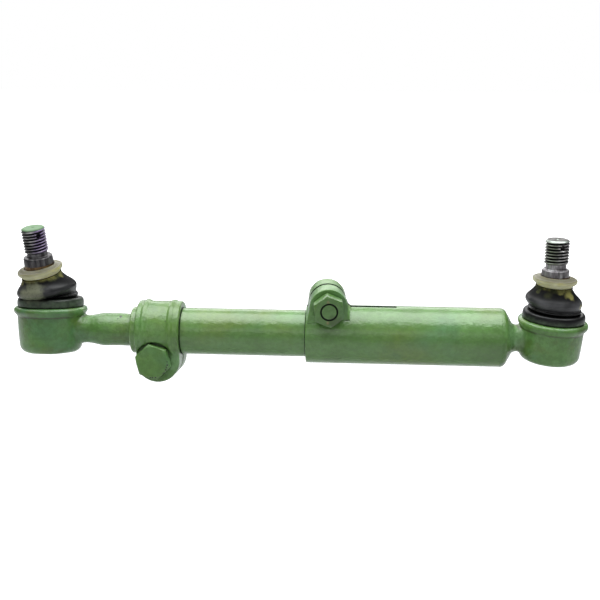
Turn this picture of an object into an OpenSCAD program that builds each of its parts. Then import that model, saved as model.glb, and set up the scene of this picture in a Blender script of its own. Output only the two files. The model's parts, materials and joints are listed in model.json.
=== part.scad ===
// Adjustable tie rod: two telescoping tubes with a ball joint at each end.
// Sizes are in millimetres. The rod lies along X and both studs point up (+Z).
// Origin: the base of the right stud's thread, on that stud's axis.
// Values in square brackets hold two numbers, [right joint, left joint].

/* [Tubes] */
// Outside diameter of the inner tube
inner_od = 40; // [38:0.5:44]
// Wall of the inner tube
inner_wall = 5; // [3:0.25:5.5]
// Length of the inner tube
inner_len = 271; // [230:1:280]
// How far the inner tube stands out of the outer tube
inner_reach = 150.5; // [130:0.1:170]
// Wall of the outer tube
outer_wall = 5; // [4:0.25:7]
// Length of the outer tube, from its open end to the weld
outer_len = 163.4; // [150:0.2:200]
// Radial play of the inner tube in the outer tube
tube_play = 0.1; // [0.05:0.05:0.2]
// Length of the saw cut along the top of the outer tube
outer_slot_len = 77; // [50:1:120]
// Width of that saw cut
outer_slot_w = 2.4; // [1.5:0.1:3]
// Length of the saw cut along the bottom of the inner tube
inner_slot_len = 52; // [44:1:60]
// Width of that saw cut
inner_slot_w = 3; // [2:0.1:4]
// Chamfer on the tube ends
tube_chamfer = 0.8; // [0.4:0.1:1.5]

/* [Clamp ears on the outer tube] */
// Distance of the ear bolt from the tube's open end
ear_x = 18; // [18:0.5:40]
// Radius of the rounded top of the ears
ear_r = 16; // [13.9:0.1:17]
// Thickness of each ear, along the bolt
ear_t = 18; // [18:0.5:20]
// Gap between the two ears
ear_gap = 3; // [2:0.1:5]
// Angle by which the flanks of the ears spread towards the tube
ear_flare = 6; // [0:1:12]
// Size of the weld fillet beside the ears
ear_weld = 4.5; // [2:0.25:6]
// Angle by which the ears and their bolt are skewed from square to the tube
ear_skew = 4; // [-4:0.5:4]
// Play between the ear bolt and the inner tube
ear_bolt_gap = 0.2; // [0.1:0.1:1]

/* [Clamp on the inner tube] */
// Width of the clamp along the rod
clamp_w = 37.5; // [32:0.5:42]
// Distance of the clamp from the end of the inner tube
clamp_inset = 5.5; // [3:0.1:8]
// Wall of the clamp band
clamp_wall = 5.7; // [4:0.1:7]
// Height of the two raised beads on the band
bead_h = 1.2; // [0.5:0.1:2]
// Width of each raised bead
bead_w = 5.4; // [3:0.1:7]
// Distance of each bead from the edge of the band
bead_inset = 7.4; // [5:0.1:10]
// Radius of the round lugs that carry the clamp bolt
lug_r = 19; // [17.5:0.1:20]
// Half of the thickness across both lugs
lug_half = 18.8; // [18.4:0.1:22]
// Gap between the two lugs
lug_gap = 4; // [2:0.5:5]
// Distance of the clamp bolt from the rod's axis
lug_drop = 23.2; // [22.8:0.1:26]
// Distance of the clamp bolt from the middle of the clamp, towards the end of the tube
lug_bolt_shift = 2.4; // [-3:0.1:3]
// Angle by which the lugs are swung forward from straight down
clamp_turn = 8; // [0:1:20]
// Radius of the spot-faced pocket round the bolt head and the nut
pocket_r = 16.3; // [16:0.1:18]
// Play of the clamp band on the tube
clamp_play = 0.05; // [0.02:0.01:0.1]

/* [Clamp bolts] */
// Thread diameter of the clamp bolts
bolt_d = 16; // [14:1:16]
// Width across flats of the ear bolt's head and nut
ear_af = 24; // [22:0.5:27]
// Width across flats of the tube clamp bolt's head and nut
clamp_af = 27; // [24:0.5:28]
// Height of the bolt heads
head_h = 10; // [8:0.5:12]
// Height of the nuts
nut_h = 13; // [11:0.5:16]
// Length of thread that shows past each nut
bolt_stickout = 0; // [0:0.5:6]
// Chamfer on the bolt ends
bolt_chamfer = 2; // [0.5:0.25:2]
// Depth of the thread in the clamp nuts, seen round the bolt's end
nut_thread_depth = 0.9; // [0.6:0.1:1.2]
// Play of the bolts in their holes
bolt_play = 0.3; // [0.1:0.05:0.5]
// Turn of the ear bolt's head from corner up
ear_head_turn = 0; // [-30:1:30]
// Turn of the ear bolt's nut from corner up
ear_nut_turn = 7; // [-30:1:30]
// Turn of the tube clamp bolt's head and nut from corner up
clamp_hex_turn = -14; // [-30:1:30]

/* [Ball joints] */
// Diameter of the balls
ball_d = [30, 33]; // [28:0.5:34]
// Play of the balls in their seats
ball_play = 0.05; // [0.02:0.01:0.1]
// Diameter of the seats, and of the bore that holds them
seat_d = [41, 44]; // [40:0.5:45]
// Play of the seats and the cover in the housing
seat_play = 0.05; // [0.02:0.01:0.1]
// Angle from the stud's axis to the lip of the upper seat
seat_angle = 61; // [60:0.5:62]
// Free height under the lower seat, which the disc spring fills
spring_h = 2.5; // [2:0.1:3]
// Thickness of the disc spring
spring_t = 1.1; // [0.6:0.1:1.4]
// Thickness of the cover plate under each ball
cover_t = 2; // [1.5:0.1:3.5]
// Thickness of the housing's rolled edge under the cover
lip_t = 1.5; // [1:0.1:2]
// How far the rolled edge reaches in over the cover
lip_reach = 2.7; // [1.5:0.1:4]
// Largest lean of a stud that its housing leaves room for
lean_limit = 25.5; // [20:0.5:26]

/* [Joint housings] */
// Diameter of the swollen rim
rim_d = [58.6, 63]; // [56:0.2:66]
// Height of the top of the rim above the ball's centre
rim_top = [17, 19.3]; // [16:0.1:21]
// Rounding of the rim
rim_round = 3; // [2:0.1:4]
// Diameter of the body just under the rim
body_top_d = [52.8, 56.8]; // [51:0.2:58]
// Diameter of the body at its lower corner
body_low_d = [51.2, 53.2]; // [50:0.2:55]
// Rounding of the lower corner
body_round = 7; // [4:0.5:8]
// Height of the collar that the boot's foot ring is pressed on
collar_h = 2; // [1:0.1:2]
// Diameter of that collar
collar_d = [43, 47]; // [42:0.2:48]
// Tilt of each housing about X and Y, right joint
right_tilt = [0, 3.5, 0]; // [-10:0.5:10]
// Tilt of each housing about X and Y, left joint
left_tilt = [-9.3, 0, 0]; // [-10:0.1:10]

/* [Forged ends] */
// Distance of the right ball from the weld on the outer tube
weld_to_ball = 44; // [42:0.1:60]
// Length of the shoulder that leads from the tube to the neck
shoulder_len = 14.5; // [10:0.5:16]
// Diameter of the right neck
right_neck_d = 23; // [20:0.5:28]
// Rounding of the shoulder's outer edge
shoulder_round = 5; // [2:0.5:7]
// Length of the spigot inside the outer tube
spigot_len = 6; // [4:0.5:10]
// Distance of the left ball from the end of the inner tube
left_reach = 73.4; // [60:0.1:90]
// Diameter of the threaded shank of the left end
shank_d = 28; // [24:0.5:29]
// Length of the shank inside the inner tube
shank_len = 50; // [40:1:60]
// Play of the shank in the inner tube
shank_play = 0.1; // [0.05:0.05:0.2]
// Diameter of the thinnest part of the left neck
left_neck_d = 24.2; // [20:0.2:28]
// Diameter of the swelling between that neck and the shank
swell_d = 28.8; // [26:0.2:30]

/* [Studs] */
// Diameter of the stud's neck above the ball
stud_neck_d = [17, 18.6]; // [14:0.2:19]
// Height of the top of that neck
stud_neck_top = [34, 37.6]; // [25:0.1:38]
// Height at which the taper starts
taper_start = [42.2, 45.8]; // [36:0.1:46]
// Height at which the taper ends
taper_end = [60.6, 66.6]; // [58:0.1:68]
// Diameter at the small end of the taper
taper_end_d = [22.4, 24.2]; // [21:0.1:26]
// Length over which the taper grows by 1 mm in diameter
taper_ratio = 10; // [8:1:12]
// Diameter of the thread
thread_d = 20; // [18:1:20]
// Height at which the thread starts
thread_start = [65.8, 71]; // [60:0.1:72]
// Length of the thread
thread_len = [20, 20.9]; // [16:0.1:30]
// Diameter of the undercut below the thread
undercut_d = 16.8; // [16:0.1:17.5]
// Chamfer at the top of the thread
thread_chamfer = 1.2; // [0.5:0.1:2]
// Diameter of the split-pin hole
pin_hole_d = 4; // [3:0.1:5]
// Distance of the split-pin hole from the top of the stud
pin_hole_drop = 6; // [4:0.1:7]
// Direction of the split-pin hole, turned from the front about the stud
pin_hole_turn = [18, 42]; // [-90:1:90]
// Lean of the right stud in its housing, about X and Y
right_lean = [0, -3.5, 0]; // [-10:0.5:10]
// Lean of the left stud in its housing, about X and Y
left_lean = [15.3, -4.6, 0]; // [-18:0.1:18]

/* [Boots] */
// Diameter of the bead at the boot's foot
boot_bead_d = [51.8, 56.4]; // [51:0.2:60]
// Height of the bead
boot_bead_h = [7.6, 8]; // [5:0.1:9]
// Diameter of the waist above the bead
boot_waist_d = [43, 46]; // [42:0.2:50]
// Height of the waist above the rim
boot_waist_h = [11, 11.5]; // [9:0.1:13]
// Diameter of the bulge
boot_bulge_d = [46.8, 50]; // [45:0.2:52]
// Height of the bulge above the rim
boot_bulge_h = [16.5, 17]; // [14:0.1:19]
// Diameter of the boot's top
boot_top_d = [30.2, 33.6]; // [28:0.2:36]
// Wall of the boot
boot_wall = 2.2; // [1.4:0.1:2.4]
// Play between a boot and the hard parts that it sits on
boot_play = 0.15; // [0.1:0.05:0.3]
// Number of facets round the boot
boot_sides = 32; // [24:4:40]
// Height of the steel ring in the boot's foot
foot_ring_h = 3.4; // [2:0.1:4]
// Thickness of that ring
foot_ring_t = 2; // [1:0.1:2.2]

/* [Dust rings] */
// Height of the underside of the dust ring above the ball's centre
ring_base = [46.7, 50]; // [45:0.1:51]
// Height of the dust ring
ring_h = [6.6, 6.4]; // [5:0.1:8]
// Diameter of the underside
ring_base_d = [29.4, 32]; // [28:0.1:35]
// Largest diameter
ring_d = [36.6, 38.2]; // [34:0.2:41]
// Rise of the ring's top from its rim to the stud
ring_rise = 1.5; // [0.5:0.1:2]
// Play of the ring on the tapered stud
ring_play = 0.4; // [0.3:0.05:0.6]
// Tilt of the right ring on its stud, about X and Y
right_ring_tilt = [0, 3, 0]; // [-4.5:0.5:4.5]
// Tilt of the left ring on its stud, about X and Y
left_ring_tilt = [0, -4.5, 0]; // [-4.5:0.5:4.5]

/* [Hidden] */
$fn = 96;

RIGHT = 0;
LEFT = 1;

// Finish colours
paint = [0.47, 0.63, 0.44];
bare_steel = [0.42, 0.41, 0.42];
spring_steel = [0.33, 0.34, 0.36];
bronze_seat = [0.72, 0.60, 0.36];
black_rubber = [0.09, 0.09, 0.10];
nylon = [0.84, 0.83, 0.70];

// Radii and places of the tubes
inner_r = inner_od / 2;
bore_r = inner_r + tube_play;
outer_r = bore_r + outer_wall;
weld_x = -weld_to_ball;
mouth_x = weld_x - outer_len;
inner_end_x = mouth_x - inner_reach;
joint_x = [0, inner_end_x - left_reach];
bolt_r = bolt_d / 2;
hole_r = bolt_r + bolt_play;
// Length of the wider bore in the inner tube between its thread and its full bore
tube_relief = 2;
// Length by which a cut starts outside the part
overcut = 1;

// Clearances in a housing: under the ball, round the leaning stud, and between the two seats
cover_gap = 0.3;
mouth_air = 0.5;
seat_split = 0.6;

// Heights of the parts round each ball, all from the ball's centre
function ball_r(side) = ball_d[side] / 2;
function seat_r(side) = seat_d[side] / 2;
function cavity_r(side) = seat_r(side) + seat_play;
function seat_top(side) = ball_r(side) * cos(seat_angle);
function cover_top(side) = -ball_r(side) - cover_gap;
function cover_low(side) = cover_top(side) - cover_t;
function housing_low(side) = cover_low(side) - lip_t;
function lower_seat_low(side) = cover_top(side) + spring_h;

// Radius that a leaning stud needs at height z, with some air round it
function mouth_r(side, z) =
    z * tan(lean_limit) + stud_neck_d[side] / 2 / cos(lean_limit) + mouth_air;

// Points along an arc, in the plane of a profile
function arc(centre, r, from, to, n = 8) =
    [for (i = [0:n]) let (a = from + (to - from) * i / n) centre + r * [cos(a), sin(a)]];

module rod_frame() {
    translate([0, 0, -thread_start[RIGHT]]) children();
}

// Turn a profile of (radius, distance along the rod) about the rod's axis
module turned(points) {
    rotate([0, 90, 0]) rotate_extrude() polygon(points);
}

module along_rod(x, length, r) {
    translate([x, 0, 0]) rotate([0, 90, 0]) cylinder(h = length, r = r);
}

// The frame of a housing, of the stud that leans in it, and of the ring on that stud
module at_housing(side) {
    translate([joint_x[side], 0, 0]) rotate(side == RIGHT ? right_tilt : left_tilt) children();
}

module at_stud(side) {
    at_housing(side) rotate(side == RIGHT ? right_lean : left_lean) children();
}

function ring_mid(side) = ring_base[side] + ring_h[side] / 2;
function ring_turn(side) = side == RIGHT ? right_ring_tilt : left_ring_tilt;

module at_ring(side) {
    at_stud(side)
        translate([0, 0, ring_mid(side)]) rotate(ring_turn(side))
            translate([0, 0, -ring_mid(side)]) children();
}

// Tubes

module outer_tube_shape() {
    slot_straight = outer_slot_len - outer_slot_w / 2;
    difference() {
        turned([
            [bore_r, mouth_x], [outer_r - tube_chamfer, mouth_x], [outer_r, mouth_x + tube_chamfer],
            [outer_r, weld_x], [bore_r, weld_x]
        ]);
        translate([mouth_x - overcut, -outer_slot_w / 2, 0])
            cube([overcut + slot_straight, outer_slot_w, outer_r + overcut]);
        translate([mouth_x + slot_straight, 0, 0])
            cylinder(h = outer_r + overcut, d = outer_slot_w);
        ear_bolt_axis() cylinder(h = 4 * outer_r, r = hole_r, center = true);
    }
}

module inner_tube_shape() {
    thread_r = shank_d / 2 + shank_play;
    thread_end = inner_end_x + shank_len + tube_relief;
    difference() {
        turned([
            [thread_r + tube_chamfer, inner_end_x], [inner_r - tube_chamfer, inner_end_x],
            [inner_r, inner_end_x + tube_chamfer], [inner_r, inner_end_x + inner_len - tube_chamfer],
            [inner_r - tube_chamfer, inner_end_x + inner_len],
            [inner_r - inner_wall, inner_end_x + inner_len],
            [inner_r - inner_wall, thread_end + 1], [thread_r, thread_end],
            [thread_r, inner_end_x + tube_chamfer]
        ]);
        rotate([-clamp_turn, 0, 0])
            translate([inner_end_x - overcut, -inner_slot_w / 2, -inner_r - overcut])
                cube([overcut + inner_slot_len, inner_slot_w, inner_r + overcut]);
        clamp_bolt_axis() cylinder(h = 4 * inner_r, r = hole_r, center = true);
    }
}

// Clamp ears, welded on the outer tube on each side of its saw cut

ear_bolt_x = mouth_x + ear_x;
ear_bolt_z = inner_r + ear_bolt_gap + bolt_r;

// The ears and their bolt, skewed a little about the upright through the bolt
module ear_frame() {
    translate([ear_bolt_x, 0, 0]) rotate([0, 0, ear_skew]) children();
}

module ear_bolt_axis() {
    ear_frame() translate([0, 0, ear_bolt_z]) rotate([90, 0, 0]) children();
}

// Outline of an ear across the bolt: a round top whose flanks spread down to the tube
module ear_outline() {
    drop = ear_bolt_z;
    top = ear_r * [cos(ear_flare), sin(ear_flare)];
    base_half = top[0] + (top[1] + drop) * tan(ear_flare);
    circle(r = ear_r);
    polygon([top, [base_half, -drop], [-base_half, -drop], [-top[0], top[1]]]);
}

// Weld fillet that runs round the tube beside the flanks of an ear
module ear_fillets() {
    flank = ear_r * cos(ear_flare) + (ear_r * sin(ear_flare) + ear_bolt_z - outer_r) * tan(ear_flare);
    mouth_side = max(0.3, min(ear_weld, ear_x - flank - 0.5));
    for (end = [[1, ear_weld], [-1, mouth_side]]) {
        w = end[1];
        x0 = ear_bolt_x + end[0] * (flank - 1);
        turned([
            [outer_r - 1, x0], [outer_r + ear_weld + 1, x0],
            for (p = arc([outer_r + w, 0], w, 90, 180, 6))
                [p[0], ear_bolt_x + end[0] * (flank + w - p[1])],
            [outer_r - 1, ear_bolt_x + end[0] * (flank + w)]
        ]);
    }
}

module ear_shape(front) {
    y_near = front ? -ear_gap / 2 - ear_t : ear_gap / 2;
    difference() {
        union() {
            ear_frame() translate([0, y_near + ear_t, ear_bolt_z]) rotate([90, 0, 0])
                linear_extrude(ear_t) ear_outline();
            intersection() {
                ear_fillets();
                ear_frame() translate([-2 * ear_r, y_near, 0]) cube([4 * ear_r, ear_t, 2 * outer_r]);
            }
        }
        along_rod(mouth_x - outer_r, 4 * outer_r, outer_r);
        ear_bolt_axis() cylinder(h = 4 * outer_r, r = hole_r, center = true);
    }
}

// Hexagon with chamfered corners, a corner at the top once it lies on its side
module hexagon(af, height) {
    corner_r = af / 2 / cos(30);
    flat_r = af / 2 - 0.3;
    reach = corner_r + 1;
    drop = (reach - flat_r) * tan(30);
    intersection() {
        rotate([0, 0, 30]) cylinder(h = height, r = corner_r, $fn = 6);
        rotate_extrude() polygon([
            [0, 0], [flat_r, 0], [reach, drop], [reach, height - drop], [flat_r, height], [0, height]
        ]);
    }
}

// Bolt that stands on +Z, with the underside of its head at z = 0
module hex_bolt(af, grip) {
    end = grip + nut_h + bolt_stickout;
    translate([0, 0, -head_h]) hexagon(af, head_h);
    rotate_extrude() polygon([
        [0, -1], [bolt_r, -1], [bolt_r, end - bolt_chamfer], [bolt_r - bolt_chamfer, end], [0, end]
    ]);
}

// The bolt fills the nut's thread except at its chamfered end, where the thread's crests show
module hex_nut(af) {
    thread_play = 0.05;
    mouth = max(0, bolt_chamfer - bolt_stickout - nut_thread_depth - 0.2);
    difference() {
        hexagon(af, nut_h);
        translate([0, 0, -1]) cylinder(h = nut_h + 1 - mouth, r = bolt_r + thread_play);
        translate([0, 0, -1]) cylinder(h = nut_h + 2, r = bolt_r - nut_thread_depth);
    }
}

ear_grip = ear_gap + 2 * ear_t;

// The bolt's head is behind the ears and its nut in front
module ear_bolt_frame() {
    ear_bolt_axis() translate([0, 0, -ear_grip / 2]) children();
}

// Clamp on the inner tube: a split band with two lugs that hang below the rod

clamp_x = inner_end_x + clamp_inset;
clamp_mid = clamp_x + clamp_w / 2;
band_r = inner_r + clamp_play + clamp_wall;

module clamp_bolt_axis() {
    rotate([-clamp_turn, 0, 0])
        translate([clamp_mid - lug_bolt_shift, 0, -lug_drop]) rotate([-90, 0, 0]) children();
}

// Round bead on the band: a ring whose section is the cap of a circle
module band_bead(x) {
    cap_r = (pow(bead_w / 2, 2) + pow(bead_h, 2)) / (2 * bead_h);
    half_turn = asin(bead_w / 2 / cap_r);
    turned([
        [band_r - 1, x - bead_w / 2],
        for (p = arc([band_r + bead_h - cap_r, x], cap_r, -half_turn, half_turn)) p,
        [band_r - 1, x + bead_w / 2]
    ]);
}

module tube_clamp_shape() {
    edge = 1;
    difference() {
        union() {
            turned([
                [inner_r, clamp_x], [band_r - edge, clamp_x], [band_r, clamp_x + edge],
                [band_r, clamp_x + clamp_w - edge], [band_r - edge, clamp_x + clamp_w],
                [inner_r, clamp_x + clamp_w]
            ]);
            band_bead(clamp_x + bead_inset);
            band_bead(clamp_x + clamp_w - bead_inset);
            clamp_bolt_axis() translate([lug_bolt_shift, 0, 0]) rotate_extrude() polygon([
                [0, -lug_half], [lug_r - edge, -lug_half], [lug_r, -lug_half + edge],
                [lug_r, lug_half - edge], [lug_r - edge, lug_half], [0, lug_half]
            ]);
        }
        along_rod(clamp_x - clamp_w, 3 * clamp_w, inner_r + clamp_play);
        rotate([-clamp_turn, 0, 0])
            translate([clamp_x - clamp_w, -lug_gap / 2, -lug_drop - 2 * lug_r])
                cube([3 * clamp_w, lug_gap, lug_drop + 2 * lug_r]);
        clamp_bolt_axis() {
            cylinder(h = 4 * band_r, r = hole_r, center = true);
            translate([0, 0, lug_half]) cylinder(h = band_r, r = pocket_r);
            mirror([0, 0, 1]) translate([0, 0, lug_half]) cylinder(h = band_r, r = pocket_r);
        }
    }
}

// The bolt's head is in front of the lugs and its nut behind
module clamp_bolt_frame() {
    clamp_bolt_axis() rotate([0, 0, clamp_hex_turn]) translate([0, 0, -lug_half]) children();
}

// Joint housings

module socket_outside(side) {
    rim_r = rim_d[side] / 2;
    low = housing_low(side);
    corner_r = body_low_d[side] / 2;
    rotate_extrude() polygon(concat(
        [[0, rim_top[side] + collar_h], [collar_d[side] / 2, rim_top[side] + collar_h],
         [collar_d[side] / 2, rim_top[side]]],
        arc([rim_r - rim_round, rim_top[side] - rim_round], rim_round, 90, -50),
        [[body_top_d[side] / 2, rim_top[side] - 2.5 * rim_round]],
        arc([corner_r - body_round, low + body_round], body_round, 0, -90),
        [[0, low]]
    ));
}

module socket_inside(side) {
    top = rim_top[side] + collar_h;
    rotate_extrude() polygon([
        [0, top + 1], [mouth_r(side, top + 1), top + 1],
        [mouth_r(side, seat_top(side)), seat_top(side)], [cavity_r(side), seat_top(side)],
        [cavity_r(side), cover_low(side)], [cavity_r(side) - lip_reach, cover_low(side)],
        [cavity_r(side) - lip_reach, housing_low(side) - 1], [0, housing_low(side) - 1]
    ]);
}

// Right end: a spigot in the outer tube, a rounded shoulder and a short neck
module right_neck() {
    neck_r = right_neck_d / 2;
    neck_x = weld_x + shoulder_len;
    turned(concat(
        [[0, weld_x - spigot_len], [bore_r - seat_play, weld_x - spigot_len],
         [bore_r - seat_play, weld_x], [outer_r, weld_x]],
        arc([outer_r - shoulder_round, weld_x + 1], shoulder_round, 0, 52),
        arc([neck_r + shoulder_round, neck_x], shoulder_round, -128, -180),
        [[neck_r + 0.6, 0], [0, 0]]
    ));
}

// Left end: a neck that swells to the threaded shank, in shares of its reach
module left_neck() {
    end = left_reach + shank_len;
    shank_r = shank_d / 2;
    translate([joint_x[LEFT], 0, 0]) turned([
        [0, 0], [left_neck_d / 2 + 1.4, 0], [left_neck_d / 2 + 0.6, 0.36 * left_reach],
        [left_neck_d / 2, 0.46 * left_reach], [left_neck_d / 2 + 0.4, 0.52 * left_reach],
        [swell_d / 2 - 0.4, 0.62 * left_reach], [swell_d / 2, 0.67 * left_reach],
        [swell_d / 2 - 0.2, 0.71 * left_reach], [shank_r, 0.76 * left_reach],
        [shank_r, end - bolt_chamfer], [shank_r - bolt_chamfer, end], [0, end]
    ]);
}

module housing_shape(side) {
    difference() {
        union() {
            at_housing(side) socket_outside(side);
            if (side == RIGHT) right_neck();
            else left_neck();
        }
        at_housing(side) socket_inside(side);
    }
}

// Parts inside a housing

module upper_seat_shape(side) {
    low = seat_split / 2;
    difference() {
        translate([0, 0, low]) cylinder(h = seat_top(side) - low, r = seat_r(side));
        sphere(r = ball_r(side) + ball_play);
    }
}

module lower_seat_shape(side) {
    low = lower_seat_low(side);
    pole_r = sqrt(pow(ball_r(side) + ball_play, 2) - pow(low, 2)) + 0.5;
    difference() {
        translate([0, 0, low]) cylinder(h = -seat_split / 2 - low, r = seat_r(side));
        sphere(r = ball_r(side) + ball_play);
        translate([0, 0, low - 1]) cylinder(h = ball_r(side), r = pole_r);
    }
}

// Disc spring: a shallow cone that presses the lower seat up from the cover
module disc_spring_shape(side) {
    top = lower_seat_low(side) - seat_play;
    low = cover_top(side) + seat_play;
    hole = sqrt(pow(ball_r(side), 2) - pow(top, 2)) + 1.5;
    rim = seat_r(side) - 1;
    rotate_extrude() polygon([
        [hole, top], [hole, top - spring_t], [rim, low], [rim, low + spring_t]
    ]);
}

module cover_plate_shape(side) {
    chamfer = 0.4;
    r = seat_r(side);
    rotate_extrude() polygon([
        [0, cover_low(side)], [r - chamfer, cover_low(side)], [r, cover_low(side) + chamfer],
        [r, cover_top(side) - chamfer], [r - chamfer, cover_top(side)], [0, cover_top(side)]
    ]);
}

// Ball studs

function taper_r(side, z) = (taper_end_d[side] + (taper_end[side] - z) / taper_ratio) / 2;

module ball_stud_shape(side) {
    neck_r = stud_neck_d[side] / 2;
    thread_r = thread_d / 2;
    undercut_r = undercut_d / 2;
    start = thread_start[side];
    top = start + thread_len[side];
    edge = 0.8;
    difference() {
        union() {
            sphere(r = ball_r(side));
            rotate_extrude() polygon([
                [0, 0], [neck_r, 0], [neck_r, stud_neck_top[side]],
                [taper_r(side, taper_start[side]), taper_start[side]],
                [taper_r(side, taper_end[side] - edge), taper_end[side] - edge],
                [taper_end_d[side] / 2 - edge, taper_end[side]], [undercut_r, taper_end[side]],
                [undercut_r, start - edge], [thread_r, start],
                [thread_r, top - thread_chamfer], [thread_r - thread_chamfer, top], [0, top]
            ]);
        }
        translate([0, 0, top - pin_hole_drop]) rotate([90, 0, pin_hole_turn[side]])
            cylinder(h = 2 * thread_d, d = pin_hole_d, center = true);
    }
}

// Rubber boots

// Heights and radii along the outside of a boot, from its foot to its top
function boot_stations(side) = [
    [rim_top[side] + boot_play, boot_bead_d[side] / 2 - 0.8],
    [rim_top[side] + 0.45 * boot_bead_h[side], boot_bead_d[side] / 2],
    [rim_top[side] + boot_bead_h[side], boot_bead_d[side] / 2 - 1.4],
    [rim_top[side] + boot_waist_h[side], boot_waist_d[side] / 2],
    [rim_top[side] + boot_bulge_h[side], boot_bulge_d[side] / 2],
    [boot_top(side) - 1, boot_top_d[side] / 2],
    [boot_top(side), boot_top_d[side] / 2 - 0.6]
];
function boot_top(side) = ring_base[side] - boot_play;

// Smooth step from 0 to 1, and a value between two others
function ease(t) = t * t * (3 - 2 * t);
function mix(a, b, t) = a + (b - a) * t;

// The outside with four steps from each station to the next
boot_steps = 4;
function boot_outside(side) = let (s = boot_stations(side)) [
    for (i = [0:len(s) - 2], k = [0:boot_steps - 1]) let (t = k / boot_steps)
        [mix(s[i][0], s[i + 1][0], t), mix(s[i][1], s[i + 1][1], ease(t))],
    s[len(s) - 1]
];

// The inside follows the outside a wall away, clear of the foot ring and of the stud
function foot_ring_r(side) = collar_d[side] / 2 + seat_play + foot_ring_t;
function boot_inside_r(side, z, r) =
    z < rim_top[side] + foot_ring_h + 1.5
        ? foot_ring_r(side) + boot_play + 0.1
        : max(r - boot_wall, taper_r(side, taper_start[side]) + ring_play);
function boot_section(side) = let (out = boot_outside(side)) concat(
    out, [for (i = [len(out) - 1:-2:0]) [out[i][0], boot_inside_r(side, out[i][0], out[i][1])]]
);

// Points turned as rotate() turns them
function about_x(p, a) = [p[0], p[1] * cos(a) - p[2] * sin(a), p[1] * sin(a) + p[2] * cos(a)];
function about_y(p, a) = [p[0] * cos(a) + p[2] * sin(a), p[1], -p[0] * sin(a) + p[2] * cos(a)];
function turn(p, v) = about_y(about_x(p, v[0]), v[1]);

// A point as the ring on the leaning stud carries it
function on_ring(side, p) = let (mid = [0, 0, ring_mid(side)])
    turn(turn(p - mid, ring_turn(side)) + mid, side == RIGHT ? right_lean : left_lean);

// The foot of the boot stays with the housing and its top goes with the ring.
// Each fold takes on the ring's slant sooner than it moves sideways.
slant_lead = 3;
shift_lead = 1.5;
function boot_share(side, z, lead) = let (foot = rim_top[side] + boot_bead_h[side])
    ease(min(1, max(0, lead * (z - foot) / (boot_top(side) - foot))));
function boot_point(side, p, a) =
    let (axis = [0, 0, p[0]], spoke = [p[1] * cos(a), p[1] * sin(a), 0])
        mix(axis, on_ring(side, axis), boot_share(side, p[0], shift_lead))
        + mix(spoke, on_ring(side, spoke) - on_ring(side, [0, 0, 0]), boot_share(side, p[0], slant_lead));

module boot_shape(side) {
    section = boot_section(side);
    n = len(section);
    points = [
        for (k = [0:boot_sides - 1], p = section) boot_point(side, p, 360 * k / boot_sides)
    ];
    faces = [
        for (k = [0:boot_sides - 1], i = [0:n - 1])
            let (next = (k + 1) % boot_sides, j = (i + 1) % n)
                [k * n + i, k * n + j, next * n + j, next * n + i]
    ];
    polyhedron(points = points, faces = faces, convexity = 4);
}

module foot_ring_shape(side) {
    translate([0, 0, rim_top[side] + boot_play]) difference() {
        cylinder(h = foot_ring_h, r = foot_ring_r(side));
        translate([0, 0, -1]) cylinder(h = foot_ring_h + 2, r = collar_d[side] / 2 + seat_play);
    }
}

// Dust rings

module dust_ring_shape(side) {
    base = ring_base[side];
    top = base + ring_h[side];
    r = ring_d[side] / 2;
    base_r = ring_base_d[side] / 2;
    edge = 1.1;
    hub_r = taper_r(side, top) + 1.5;
    difference() {
        rotate_extrude() polygon(concat(
            [[0, base], [base_r, base], [base_r + 0.3, base + 0.8], [r - 0.4, base + 0.48 * ring_h[side]],
             [r, base + 0.58 * ring_h[side]]],
            arc([r - edge, top - edge], edge, 0, 90, 4),
            [[r - 2, top], [hub_r, top + ring_rise], [0, top + ring_rise]]
        ));
        translate([0, 0, base - 1])
            cylinder(h = ring_h[side] + 3 + ring_rise, r1 = taper_r(side, base - 1) + ring_play,
                r2 = taper_r(side, top + 2 + ring_rise) + ring_play);
    }
}

// Nodes

module outer_tube() {
    color(paint) rod_frame() outer_tube_shape();
}

module right_housing() {
    color(paint) rod_frame() housing_shape(RIGHT);
}

module front_clamp_ear() {
    color(paint) rod_frame() ear_shape(true);
}

module rear_clamp_ear() {
    color(paint) rod_frame() ear_shape(false);
}

module ear_clamp_bolt() {
    color(paint) rod_frame() ear_bolt_frame() rotate([0, 0, ear_head_turn])
        hex_bolt(ear_af, ear_grip);
}

module ear_clamp_nut() {
    color(paint) rod_frame() ear_bolt_frame() translate([0, 0, ear_grip])
        rotate([0, 0, ear_nut_turn]) hex_nut(ear_af);
}

module inner_tube() {
    color(paint) rod_frame() inner_tube_shape();
}

module tube_clamp() {
    color(paint) rod_frame() tube_clamp_shape();
}

module tube_clamp_bolt() {
    color(paint) rod_frame() clamp_bolt_frame() hex_bolt(clamp_af, 2 * lug_half);
}

module tube_clamp_nut() {
    color(paint) rod_frame() clamp_bolt_frame() translate([0, 0, 2 * lug_half]) hex_nut(clamp_af);
}

module left_housing() {
    color(paint) rod_frame() housing_shape(LEFT);
}

module upper_seat(side) {
    color(bronze_seat) rod_frame() at_housing(side) upper_seat_shape(side);
}

module lower_seat(side) {
    color(bronze_seat) rod_frame() at_housing(side) lower_seat_shape(side);
}

module disc_spring(side) {
    color(spring_steel) rod_frame() at_housing(side) disc_spring_shape(side);
}

module cover_plate(side) {
    color(paint) rod_frame() at_housing(side) cover_plate_shape(side);
}

module foot_ring(side) {
    color(spring_steel) rod_frame() at_housing(side) foot_ring_shape(side);
}

module boot(side) {
    color(black_rubber) rod_frame() at_housing(side) boot_shape(side);
}

module dust_ring(side) {
    color(nylon) rod_frame() at_ring(side) dust_ring_shape(side);
}

module ball_stud(side) {
    color(bare_steel) rod_frame() at_stud(side) ball_stud_shape(side);
}

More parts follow.
